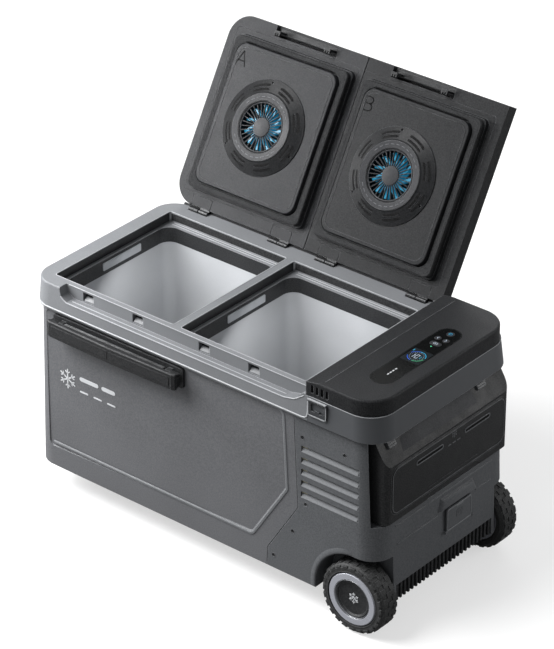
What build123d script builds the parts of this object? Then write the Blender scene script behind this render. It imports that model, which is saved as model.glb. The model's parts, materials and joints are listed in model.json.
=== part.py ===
from build123d import *
import math
import os

os.makedirs("parts", exist_ok=True)

# Wheeled dual-zone compressor cooler, shown with both lids open.
# X runs left to right (wheels and machine bay at +X), Y front (-) to back (+), Z up,
# ground at z = 0. Millimetres. Zone "a" is the left compartment, "b" the right one.
# X0/X1, Y0/Y1 and Z0/Z1 are the low and high limits of a feature.

# ---- driving dimensions ---------------------------------------------------------------
# Top rim: ends and half depth at its top, then at its lower edge
RIM_X0, RIM_X1, RIM_HALF = -434.0, 425.5, 209.6
RIM_LOW_X0, RIM_LOW_X1, RIM_LOW_HALF = -437.0, 432.0, 212.5
RIM_TOP, RIM_LOW = 481.0, 425.0
# Body: ends and half depth at its underside, then under the rim
BODY_LOW = 60.0
BODY_X0, BODY_X1, BODY_HALF = -440.0, 437.0, 208.5
BODY_TOP_X0, BODY_TOP_X1, BODY_TOP_HALF = -431.5, 424.0, 206.2
WALL = 4.5
NOTCH_Y, NOTCH_Z = -188.0, 453.6     # finger ledge along the front of the rim

# Lid recesses and the tubs below them
RECESS_Z = 461.0                     # ledge the lid gaskets close onto
RECESS_Y0, RECESS_Y1 = -175.5, 164.0
RECESS_X = {"a": (-397.7, -91.6), "b": (-72.3, 235.0)}
LEDGE_SIDE, LEDGE_FRONT, LEDGE_BACK = 9.0, 9.0, 19.0
COLLAR_LOW = 428.0                   # joint between collar and liner
FLOOR_Z = 112.0                      # inside floor of the tubs
TUB_DRAFT = 1.2                      # degrees
TUB_R = 26.0
COIL_Z0, COIL_Z1 = 160.0, 345.0      # room for the coils in the foam

# Lids, in lid coordinates: s runs from the hinge line to the front edge, n out of the inner face
HINGE_Y, HINGE_Z = 198.9, 482.2
LID_OPEN = 120.45                    # opening angle, degrees
LID_S0, LID_S1, LID_T = 8.0, 408.0, 32.0
LID_X = {"a": (-424.7, -82.0), "b": (-80.0, 260.0)}
PLUG_HALF, PLUG_S0, PLUG_S1, PLUG_H = 127.0, 60.0, 353.0, 26.0
PLUG_X = {"a": -246.0, "b": 81.0}
FAN_X = {"a": -249.0, "b": 77.0}
FAN_S = 205.5
HINGE_X = {"a": (-351.5, -143.6), "b": (-21.6, 204.4)}
HOOK_X = {"a": (-300.0, -171.5), "b": (-3.5, 119.5)}
KNUCKLE_R, PIN_R, PIN_BORE = 5.0, 2.0, 2.06
LATCH_S, LATCH_N = 398, -16          # latch pivot
SPINDLE_BORE = 2.56                  # bores on the 2.5 spindles and grip pivots

# Wheels
WHEEL_X, WHEEL_R, WHEEL_W = 380.0, 75.0, 50.0
WHEEL_FACE = 214.0                   # outer face of each wheel from the centre plane
AXLE_R = 6.0
ARCH_R, ARCH_Y = 92, 158             # wheel arch radius and its inner face

# Battery pack and its bay in the right end
PACK_X0, PACK_X1 = 369.0, 434.0
PACK_Y0, PACK_Y1 = -183.0, 196.5
PACK_Z0, PACK_Z1 = 243.0, 418.0
BAY_X0 = PACK_X0 - 3
BAY_Y0, BAY_Y1, BAY_Z0, BAY_Z1 = -199.0, 200.0, 240.0, 424.0
CONNECTOR_Y, CONNECTOR_Z = 60, 330

# Handles
GRIP_X0, GRIP_X1 = -373.0, -41.0
GRIP_PIVOT_Y, GRIP_PIVOT_Z, GRIP_PIVOT_R = 218.0, 404.0, 2.5
TOW_Y, TOW_Z = 95.0, 91.0            # axes of the tow handle tubes
TRAY_HALF, TRAY_Z0, TRAY_Z1 = 130, 68.7, 112.3       # tow handle tray in the left end

# Openings in the right end
INTAKE_HALF, INTAKE_TOP = 150, 98
END_X = 434.2                        # end face at the height of the inlet flap
FLAP_X = END_X + 3.4
FLAP_Y0, FLAP_Y1, FLAP_Z0, FLAP_Z1 = 0.0, 78.0, 142.0, 192.0

CUT = Mode.SUBTRACT
SIDES = (("front", -1), ("rear", 1))

cos_open = math.cos(math.radians(LID_OPEN))
sin_open = math.sin(math.radians(LID_OPEN))
LID_DIR = (0.0, -cos_open, sin_open)         # direction of s
LID_NORMAL = (0.0, -sin_open, -cos_open)     # direction of n
LID_PLANE = Plane(origin=(0, HINGE_Y, HINGE_Z), x_dir=(1, 0, 0), z_dir=LID_NORMAL)


# ---- helpers --------------------------------------------------------------------------
def save(builder, name):
    builder.part.label = name
    export_step(builder.part, "parts/" + name + ".step")


def prism(plane, x0, x1, y0, y1, h, r=0.0, taper=0.0, mode=Mode.ADD):
    """Rectangle x0..x1, y0..y1 on the plane, grown along its normal by h."""
    with BuildSketch(plane) as base:
        with Locations(((x0 + x1) / 2, (y0 + y1) / 2)):
            if r > 0:
                RectangleRounded(x1 - x0, y1 - y0, r)
            else:
                Rectangle(x1 - x0, y1 - y0)
    extrude(base.sketch, amount=h, taper=taper, mode=mode)


def block(x0, x1, y0, y1, z0, z1, r=0.0, mode=Mode.ADD):
    prism(Plane.XY.offset(z0), x0, x1, y0, y1, z1 - z0, r, mode=mode)


def block_at(x, y, half_x, half_y, z0, z1, r=0.0, mode=Mode.ADD):
    """Block centred on x, y."""
    block(x - half_x, x + half_x, y - half_y, y + half_y, z0, z1, r, mode)


def lid_block(x0, x1, s0, s1, n0, n1, r=0.0, taper=0.0, mode=Mode.ADD):
    prism(LID_PLANE.offset(n0), x0, x1, s0, s1, n1 - n0, r, taper, mode)


def lid_point(x, s, n):
    return Vector(x, HINGE_Y, HINGE_Z) + Vector(*LID_DIR) * s + Vector(*LID_NORMAL) * n


def xz(y):
    """Plane of X and Z at y; extrusions run to the front."""
    return Plane(origin=(0, y, 0), x_dir=(1, 0, 0), z_dir=(0, -1, 0))


def yz(x):
    """Plane of Y and Z at x; extrusions run to the right."""
    return Plane(origin=(x, 0, 0), x_dir=(0, 1, 0), z_dir=(1, 0, 0))


def disc(plane, r, h, mode=Mode.ADD):
    with BuildSketch(plane) as base:
        Circle(r)
    extrude(base.sketch, amount=h, mode=mode)


def rod(start, direction, r, length, mode=Mode.ADD):
    """Cylinder from a point along a direction."""
    disc(Plane(origin=start, z_dir=direction), r, length, mode)


def polygon(plane, points, h, mode=Mode.ADD):
    with BuildSketch(plane) as base:
        with BuildLine():
            Polyline(*points, close=True)
        make_face()
    extrude(base.sketch, amount=h, mode=mode)


def spin(plane, points, axis):
    """Closed profile on the plane, revolved about the axis."""
    with BuildSketch(plane) as profile:
        with BuildLine():
            Polyline(*points, close=True)
        make_face()
    revolve(profile.sketch, axis=axis)


def span(sign, inner, outer):
    """Low and high y of a feature at distances inner..outer on the side of the sign."""
    return min(sign * inner, sign * outer), max(sign * inner, sign * outer)


def outline(z, x0, x1, half, r_left, r_right):
    """Plan outline at height z with its left and right corner radii."""
    with BuildSketch(Plane.XY.offset(z)) as base:
        with Locations(((x0 + x1) / 2, 0)):
            Rectangle(x1 - x0, 2 * half)
        fillet(base.vertices().group_by(Axis.X)[0], r_left)
        fillet(base.vertices().group_by(Axis.X)[-1], r_right)
    return base.sketch


def body_form(inset, top):
    """Tapered body moved in by inset, carried straight up from the rim's lower edge."""
    low = outline(BODY_LOW, BODY_X0 + inset, BODY_X1 - inset, BODY_HALF - inset,
                  46 - inset, 46 - inset)
    high = outline(RIM_LOW, BODY_TOP_X0 + inset, BODY_TOP_X1 - inset, BODY_TOP_HALF - inset,
                   47 - inset, 48 - inset)
    loft([low, high])
    extrude(high, amount=top - RIM_LOW)


def cut_wells(grow):
    """Wheel arches, open to the outside and downwards."""
    arch = ARCH_R + grow
    for sign in (-1, 1):
        with BuildSketch(xz(sign * (ARCH_Y - grow))) as well:
            with Locations((WHEEL_X, WHEEL_R)):
                Circle(arch)
            with Locations((WHEEL_X + 60, WHEEL_R + arch / 2 - 40)):
                Rectangle(120, arch + 80)
            with Locations((WHEEL_X, 40)):
                Rectangle(2 * arch, 70)
        extrude(well.sketch, amount=-sign * (90 + grow), mode=CUT)


def tub_box(zone, inset):
    """x0, x1, y0, y1 of a tub opening, moved in by inset."""
    x0, x1 = RECESS_X[zone]
    return (x0 + LEDGE_SIDE + inset, x1 - LEDGE_SIDE - inset,
            RECESS_Y0 + LEDGE_FRONT + inset, RECESS_Y1 - LEDGE_BACK - inset)


# ---- casing and machine cover: one shell, parted along a seam -------------------------
with BuildPart() as body_solid:
    body_form(0, 449)
    cut_wells(0)
    block(BAY_X0, 470, BAY_Y0, BAY_Y1, BAY_Z0, BAY_Z1, mode=CUT)

with BuildPart() as body_hollow:
    with BuildSketch(Plane.XY.offset(BODY_LOW - 5)) as underside:
        add(outline(BODY_LOW - 5, BODY_X0 + WALL, BODY_X1 - WALL, BODY_HALF - WALL, 41, 41))
    extrude(underside.sketch, amount=5.2)
    body_form(WALL, 455)
    cut_wells(3)
    block(BAY_X0 - 3, 470, -205, 206, BAY_Z0 - 3, BAY_Z1 + 3, mode=CUT)

with BuildPart() as shell:
    add(body_solid.part)
    add(body_hollow.part, mode=CUT)

SEAM = [(230.0, 455), (243.0, 220.5), (169.0, 101.0), (167.7, 45)]     # x, z downwards
SEAM_GAP = 0.6                       # each side of the seam


def cut_beyond_seam(shift, far_x):
    """Remove all from the shifted seam to far_x."""
    edge = [(x + shift, z) for x, z in SEAM]
    polygon(xz(260), edge + [(far_x, 45), (far_x, 455)], 520, CUT)


# The front wall leans by this angle; the back wall mirrors it
lean = math.atan2(BODY_TOP_HALF - BODY_HALF, RIM_LOW - BODY_LOW)
front_wall = Plane(origin=(0, -BODY_TOP_HALF, RIM_LOW), x_dir=(1, 0, 0),
                   z_dir=(0, -math.cos(lean), -math.sin(lean)))


def wall_y(z):
    """Distance of the front and back walls from the centre plane at height z."""
    return BODY_TOP_HALF - (RIM_LOW - z) * math.tan(lean)


with BuildPart() as panel_sink:      # recessed panel
    with BuildSketch(front_wall) as panel:
        with BuildLine():
            Polyline((-400, -7), (203, -7), (213, -173.5), (129.6, -305.7), (-400, -320),
                     close=True)
        make_face()
        fillet(panel.vertices(), 12)
    extrude(panel.sketch, amount=-2.6)
    chamfer(panel_sink.faces().sort_by(Axis.Y)[-1].edges(), 1.2)

with BuildPart() as outer_casing:
    add(shell.part)
    cut_beyond_seam(-SEAM_GAP, 600)
    add(panel_sink.part, mode=CUT)
    mirror(panel_sink.part, about=Plane.XZ, mode=CUT)
    block(-460, -422, -TRAY_HALF - 0.3, TRAY_HALF + 0.3, TRAY_Z0 - 0.3, TRAY_Z1 + 0.3, mode=CUT)
save(outer_casing, "outer_casing")

SCREWS = [(252.3, 379.2), (353.0, 379.7), (261.6, 235.1), (230.8, 162.4), (184.3, 88.8)]  # x, z
LOUVRE_TOPS = (361.0, 335.6, 310.5, 285.4, 260.5)

with BuildPart() as machine_cover:
    add(shell.part)
    cut_beyond_seam(SEAM_GAP, -600)
    for top in LOUVRE_TOPS:
        for sign in (-1, 1):
            y = wall_y(top)
            slot = [(sign * (y + 12), top), (sign * (y - 9), top), (sign * (y - 9), top - 5),
                    (sign * (y + 0.6), top - 14), (sign * (y + 12), top - 14)]
            polygon(yz(250), slot, 137, CUT)
    for x, z in SCREWS:
        for sign in (-1, 1):
            rod((x, sign * (wall_y(z) + 5), z), (0, -sign, 0), 3.8, 15, CUT)
    rod((WHEEL_X, -170, WHEEL_R), (0, 1, 0), AXLE_R + 0.6, 340, CUT)
    # bottom intake and inlet opening
    block(400, 460, -INTAKE_HALF, INTAKE_HALF, 50, INTAKE_TOP, mode=CUT)
    block(400, 460, FLAP_Y0 + 6, FLAP_Y1 - 6, FLAP_Z0 + 4, FLAP_Z1 - 4, mode=CUT)
    for y in (FLAP_Y0 - 5, FLAP_Y1 + 1):     # flap hinge lugs
        block(432, END_X + 6.6, y, y + 4, FLAP_Z0 - 2.6, FLAP_Z0 + 2.6)
    rod((FLAP_X, FLAP_Y0 - 10, FLAP_Z0), (0, 1, 0), 1.0, 110, CUT)
    # raised hood over the inlet flap
    polygon(yz(431), [(-18, 197), (-10, 217), (85, 217), (94, 197)], 4.8)
    # battery plug window
    rod((362, CONNECTOR_Y, CONNECTOR_Z), (1, 0, 0), 12, 6, CUT)
save(machine_cover, "machine_cover")

# ---- base, foot, axle -----------------------------------------------------------------
with BuildPart() as base_pan:
    pan_inset = WALL + 0.6
    pan = outline(BODY_LOW + 0.1, BODY_X0 + pan_inset, BODY_X1 - pan_inset,
                  BODY_HALF - pan_inset, 41, 41)
    extrude(pan, amount=3.3)
    cut_wells(3.4)
    block(400, 460, -INTAKE_HALF - 0.4, INTAKE_HALF + 0.4, 50, INTAKE_TOP, mode=CUT)
    with GridLocations(24, 0, 7, 1):         # row of slots under the machine bay
        with Locations((320, 0, 61)):
            Box(12, 150, 12, mode=CUT)
    block(300, 355, -1, 1, 58, 65, mode=CUT)
save(base_pan, "base_pan")

FOOT_X = -368
with BuildPart() as stand_foot:
    with BuildSketch(Plane.XY.offset(12.0)) as foot_low:
        with Locations((FOOT_X, 0)):
            RectangleRounded(44, 196, 12)
    with BuildSketch(Plane.XY.offset(BODY_LOW)) as foot_high:
        with Locations((FOOT_X, 0)):
            RectangleRounded(60, 214, 14)
    loft([foot_low.sketch, foot_high.sketch])
    block_at(FOOT_X, 0, 16, 70, 5, 50, r=6, mode=CUT)
save(stand_foot, "stand_foot")

with BuildPart() as foot_pads:
    for y in (-85, 85):
        block_at(FOOT_X, y, 18, 12.5, 0, 12.0, r=6)
    fillet(foot_pads.faces().sort_by(Axis.Z)[:2].edges(), 2)
save(foot_pads, "foot_pads")

with BuildPart() as wheel_axle:
    rod((WHEEL_X, -207, WHEEL_R), (0, 1, 0), AXLE_R, 414)
    for y in (-161.5, 158.3):                # collars inside the wheels
        rod((WHEEL_X, y, WHEEL_R), (0, 1, 0), 11.0, 3.2)
save(wheel_axle, "wheel_axle")

# ---- wheels ---------------------------------------------------------------------------
WHEEL_PLANE = Plane(origin=(WHEEL_X, 0, WHEEL_R), x_dir=(0, 1, 0), z_dir=(1, 0, 0))
WHEEL_AXIS = Axis((WHEEL_X, 0, WHEEL_R), (0, 1, 0))
LUG_COUNT, LUG_BASE_R = 24, 71
# Rim profile: depth in from the outer face, radius
RIM_PROFILE = [(1, 55.1), (0, 53), (0, 41), (3, 39.5), (11, 34), (13, 6.1),
               (48, 6.1), (48, 18), (36, 20), (30, 47), (46, 49), (47, 55.1)]

for side, sign in SIDES:
    low, high = span(sign, WHEEL_FACE - WHEEL_W, WHEEL_FACE)
    with BuildPart() as tyre:
        spin(WHEEL_PLANE,
             [(low + 3, 55.3), (low, 59), (low, 66), (low + 5, 71.5),
              (high - 5, 71.5), (high, 66), (high, 59), (high - 3, 55.3)], WHEEL_AXIS)
        # three rows of tread lugs, the middle one staggered by half a pitch
        for stagger, y in ((0, low + 12.5), (0.5, (low + high) / 2), (0, high - 12.5)):
            for i in range(LUG_COUNT):
                angle = math.radians((i + stagger) * 360 / LUG_COUNT)
                out_x, out_z = math.sin(angle), math.cos(angle)
                lug_plane = Plane(origin=(WHEEL_X + LUG_BASE_R * out_x, y,
                                          WHEEL_R + LUG_BASE_R * out_z),
                                  x_dir=(0, 1, 0), z_dir=(out_x, 0, out_z))
                with BuildSketch(lug_plane) as lug:
                    Rectangle(12.5, 11.5)
                extrude(lug.sketch, amount=4.0, taper=12)
    save(tyre, "wheel_%s_tyre" % side)
    with BuildPart() as wheel_rim:
        spin(WHEEL_PLANE, [(sign * (WHEEL_FACE - depth), r) for depth, r in RIM_PROFILE],
             WHEEL_AXIS)
    save(wheel_rim, "wheel_%s_rim" % side)

GRILLE_PITCH = 12
with BuildPart() as bottom_grille:
    block(410.5, 421, -149.5, 149.5, BODY_LOW + 1, 97.5)
    for i in range(25):                      # tapered ribs
        y = -144 + GRILLE_PITCH * i
        polygon(Plane.XY.offset(BODY_LOW + 1),
                [(420, y - 4.8), (420, y + 4.8), (434.5, y + 2.2), (434.5, y - 2.2)], 36)
    for i in range(24):                      # slots between the ribs
        y = -138 + GRILLE_PITCH * i
        block(400, 430, y - 2.2, y + 2.2, 68, 92, mode=CUT)
save(bottom_grille, "bottom_grille")

# ---- top rim --------------------------------------------------------------------------
CONSOLE_X0, CONSOLE_X1, CONSOLE_HALF = 262.5, 425.4, 209.1
CONSOLE_Z0, CONSOLE_TOP = 477.6, 512.0

with BuildPart() as top_rim:
    loft([outline(RIM_LOW, RIM_LOW_X0, RIM_LOW_X1, RIM_LOW_HALF, 50, 54),
          outline(RIM_TOP, RIM_X0, RIM_X1, RIM_HALF, 50, 54)])
    fillet(top_rim.faces().sort_by(Axis.Z)[-1].edges(), 3.5)
    socket = outline(RIM_LOW, BODY_TOP_X0 - 0.5, BODY_TOP_X1 + 0.5, BODY_TOP_HALF + 0.5,
                     47.5, 48.5)
    extrude(socket, amount=25, mode=CUT)
    # finger ledge along the front, with a scooped left end and a ramp up to the console
    polygon(xz(NOTCH_Y), [(-358, RIM_TOP + 5), (-352, 462), (-338, NOTCH_Z), (210, NOTCH_Z),
                          (236, 459), (262, RIM_TOP + 5)], 40, CUT)
    # console seat
    block(262.0, 450, -230, 230, CONSOLE_Z0 - 0.2, 500, mode=CUT)
    block(270, 418, -201, 201, 440, 474, r=48, mode=CUT)
    block(285, 408, -188, 188, 470, 480, r=46, mode=CUT)
    for zone, (x0, x1) in RECESS_X.items():
        block(x0, x1, RECESS_Y0, RECESS_Y1, RECESS_Z, 500, r=5, mode=CUT)
        block(*tub_box(zone, -3.2), 440, 470, r=TUB_R + 3.2, mode=CUT)
    for zone in RECESS_X:
        for x in HOOK_X[zone]:               # latch pockets
            block(x - 13.5, x + 13.5, NOTCH_Y - 1, NOTCH_Y + 9.5, 457.2, 476.4, mode=CUT)
        for x in HINGE_X[zone]:              # hinge pockets
            block_at(x, HINGE_Y, 25, 6.2, 475, 490, mode=CUT)
            block(x - 24.4, x - 0.6, HINGE_Y - 2.2, HINGE_Y + 2.2, 466, 476, mode=CUT)
save(top_rim, "top_rim")

# ---- compartments ---------------------------------------------------------------------
TUB_TOP = Plane.XY.offset(COLLAR_LOW)
TUB_DEPTH = COLLAR_LOW - FLOOR_Z

for zone in RECESS_X:
    x0, x1, y0, y1 = tub_box(zone, 0)
    with BuildPart() as collar:
        block(*tub_box(zone, -3), COLLAR_LOW, RECESS_Z, r=TUB_R + 3)
        block(x0, x1, y0, y1, COLLAR_LOW - 5, RECESS_Z + 5, r=TUB_R, mode=CUT)
    save(collar, "collar_" + zone)
    with BuildPart() as liner:
        prism(TUB_TOP, *tub_box(zone, -2), -(TUB_DEPTH + 2), r=TUB_R + 2, taper=TUB_DRAFT)
        fillet(liner.faces().sort_by(Axis.Z)[0].edges(), 15)
        with BuildPart(mode=Mode.PRIVATE) as tub_space:
            prism(TUB_TOP, x0, x1, y0, y1, -TUB_DEPTH, r=TUB_R, taper=TUB_DRAFT)
            fillet(tub_space.faces().sort_by(Axis.Z)[0].edges(), 13)
        add(tub_space.part, mode=CUT)
    save(liner, "liner_" + zone)

with BuildPart() as light_lenses:            # on the left wall of each collar
    for zone in RECESS_X:
        prism(yz(tub_box(zone, 0)[0]), -50, 62, 437.5, 454.5, 1.8, r=2)
save(light_lenses, "light_lenses")

COIL_R = 3.2
with BuildPart() as evaporator_coils:        # loops round each tub, joined by a riser
    for zone in RECESS_X:
        x0, x1, y0, y1 = tub_box(zone, -6.5)
        mid_x = (x0 + x1) / 2
        for z in (170, 212, 254, 296, 336):
            with BuildSketch(Plane.XY.offset(z)) as ring:
                with Locations((mid_x, (y0 + y1) / 2)):
                    RectangleRounded(x1 - x0, y1 - y0, 30)
            path = ring.sketch.face().outer_wire()
            with BuildSketch(Plane(origin=(mid_x, y1, z), z_dir=(1, 0, 0))) as tube:
                Circle(COIL_R)
            sweep(tube.sketch, path=path)
        rod((mid_x, y1, 170), (0, 0, 1), COIL_R, 166)
save(evaporator_coils, "evaporator_coils")

with BuildPart() as foam_insulation:
    body_form(WALL + 0.3, 449.7)
    block(-460, 460, -230, 230, 50, BODY_LOW + 3.8, mode=CUT)
    block(262.0, 460, -230, 230, 50, 460, mode=CUT)          # machine bay
    for zone in RECESS_X:
        prism(TUB_TOP, *tub_box(zone, -2.3), -(TUB_DEPTH + 2.4), r=TUB_R + 2.3,
              taper=TUB_DRAFT, mode=CUT)
        block(*tub_box(zone, -3.3), COLLAR_LOW - 0.1, 460, r=TUB_R + 3.3, mode=CUT)
        block(*tub_box(zone, -11), COIL_Z0, COIL_Z1, r=34, mode=CUT)
    block(-460, -421.4, -TRAY_HALF - 0.6, TRAY_HALF + 0.6, 50, TRAY_Z1 + 0.5, mode=CUT)
    for y in (-TOW_Y, TOW_Y):
        rod((-424, y, TOW_Z), (1, 0, 0), 10.3, 306, CUT)
save(foam_insulation, "foam_insulation")

# ---- console --------------------------------------------------------------------------
CONSOLE_WALL, CONSOLE_R = 3, 59
CAP_X, CAP_Y0, CAP_Y1, CAP_R = 368.0, -137.0, 107.5, 24.5    # display glass
SCREEN = (369.5, -16.0)
ROUND_BUTTONS = {                    # x, y, radius
    "button_power": (369.5, 88.4, 8.0),
    "button_up": (359.0, 63.0, 6.5),
    "button_down": (377.8, 63.0, 6.5),
}
ZONE_BUTTON = (368.6, 43.0)
ZONE_BUTTON_X, ZONE_BUTTON_Y = 12.5, 6.5                     # half sizes


def cut_button_holes(gap):
    for x, y, r in ROUND_BUTTONS.values():
        rod((x, y, 500), (0, 0, 1), r + gap, 20, CUT)
    block_at(*ZONE_BUTTON, ZONE_BUTTON_X + gap, ZONE_BUTTON_Y + gap, 500, 520,
             r=ZONE_BUTTON_Y + gap - 0.1, mode=CUT)


with BuildPart() as control_console:
    block(CONSOLE_X0, CONSOLE_X1, -CONSOLE_HALF, CONSOLE_HALF, CONSOLE_Z0, CONSOLE_TOP)
    fillet(control_console.edges().filter_by(Axis.Z).group_by(Axis.X)[-1], CONSOLE_R)
    # round the top edges, all but the left one, which is sloped instead
    fillet(control_console.faces().sort_by(Axis.Z)[-1].edges().sort_by(Axis.X)[1:], 5)
    polygon(xz(230), [(250, 506.4), (CONSOLE_X0, 506.4), (296, CONSOLE_TOP), (296, 530),
                      (250, 530)], 460, CUT)
    with BuildPart(mode=Mode.PRIVATE) as console_void:
        inner_half = CONSOLE_HALF - CONSOLE_WALL
        block(CONSOLE_X0 + CONSOLE_WALL, CONSOLE_X1 - CONSOLE_WALL, -inner_half, inner_half,
              470, 503.2)
        fillet(console_void.edges().filter_by(Axis.Z).group_by(Axis.X)[-1],
               CONSOLE_R - CONSOLE_WALL)
        block(300, 410, -190, 190, 500, 508, r=20)
    add(console_void.part, mode=CUT)
    block(CAP_X - CAP_R, CAP_X + CAP_R, CAP_Y0, CAP_Y1, 509.9, 520, r=CAP_R - 0.01, mode=CUT)
    block_at(*SCREEN, 23, 26, 500, 515, r=2, mode=CUT)
    cut_button_holes(0.4)
    for i in range(4):                       # slots in the front wall
        x = 277 + 11.6 * i
        prism(xz(-190), x - 3, x + 3, 486, 503, 30, r=1.2, mode=CUT)
save(control_console, "control_console")

with BuildPart() as display_glass:
    block(CAP_X - CAP_R + 0.2, CAP_X + CAP_R - 0.2, CAP_Y0 + 0.2, CAP_Y1 - 0.2, 510.0, 512.1,
          r=CAP_R - 0.25)
    cut_button_holes(0.2)
save(display_glass, "display_glass")

with BuildPart() as screen_module:
    block_at(*SCREEN, 22.5, 25.5, 498.2, 509.7, r=1.5)
    fillet(screen_module.faces().sort_by(Axis.Z)[-1].edges(), 0.6)
save(screen_module, "screen_module")

with BuildPart() as control_board:           # board with three components below it
    block(340, 396, -130, 105, 495.8, 497.6, r=3)
    block(345, 365, -110, -85, 490, 495.9)
    block(370, 390, 20, 44, 491, 495.9)
    block(350, 362, 70, 90, 488, 495.9)
save(control_board, "control_board")

BUTTON_LOW, BUTTON_HEAD, BUTTON_TOP = 498.8, 506.0, 512.9
for name, (x, y, r) in ROUND_BUTTONS.items():
    with BuildPart() as button:
        rod((x, y, BUTTON_LOW), (0, 0, 1), r - 1.2, 9)
        rod((x, y, BUTTON_HEAD), (0, 0, 1), r, BUTTON_TOP - BUTTON_HEAD)
        fillet(button.faces().sort_by(Axis.Z)[-1].edges(), 0.7)
    save(button, name)
with BuildPart() as button_zone:
    block_at(*ZONE_BUTTON, 9, 4, BUTTON_LOW, 507, r=3)
    block_at(*ZONE_BUTTON, ZONE_BUTTON_X, ZONE_BUTTON_Y, BUTTON_HEAD, BUTTON_TOP, r=6.4)
    fillet(button_zone.faces().sort_by(Axis.Z)[-1].edges(), 0.7)
save(button_zone, "button_zone")

OPENER_X, OPENER_Y = 293, -212.2
with BuildPart() as bottle_opener:
    with BuildSketch(xz(OPENER_Y)) as opener:
        with Locations((OPENER_X, 457)):
            RectangleRounded(44, 33, 4)
        with Locations((OPENER_X, 460)):
            RectangleRounded(30, 17, 2, mode=CUT)
        with Locations((OPENER_X, 453)):
            Rectangle(11, 5)
    extrude(opener.sketch, amount=2.4)
    prism(xz(OPENER_Y), OPENER_X - 22, OPENER_X + 22, 472.8, 475.2, 5.5)
save(bottle_opener, "bottle_opener")

# ---- lids -----------------------------------------------------------------------------
# Corner radii of the lids at their left and right edges
LID_CORNERS = {"a": (50, 3), "b": (3, 14)}
# The cavity that takes the liner runs past the recess by this much at its right end
CAVITY_RIGHT = {"a": -1.5, "b": 7.0}
CAVITY_LEFT = 8.5
CAVITY_S0, CAVITY_S1 = 33.5, 381.0
# Profiles about the fan axis: radius, n
CUP_PROFILE = [(0, 2), (60, 2), (60, PLUG_H), (57.5, PLUG_H), (57.5, 4.5), (12, 4.5),
               (12, 9), (2.5, 9), (2.5, 28), (0, 28)]
GRILLE_PROFILE = [(98, PLUG_H + 0.1), (98, PLUG_H + 2), (72, 35.5), (69, 37.5), (53, 36.5),
                  (50.5, 34), (50.5, 31), (53.5, 31.5), (66, 34.5), (70, 32.5),
                  (92, PLUG_H + 0.1)]

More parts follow.
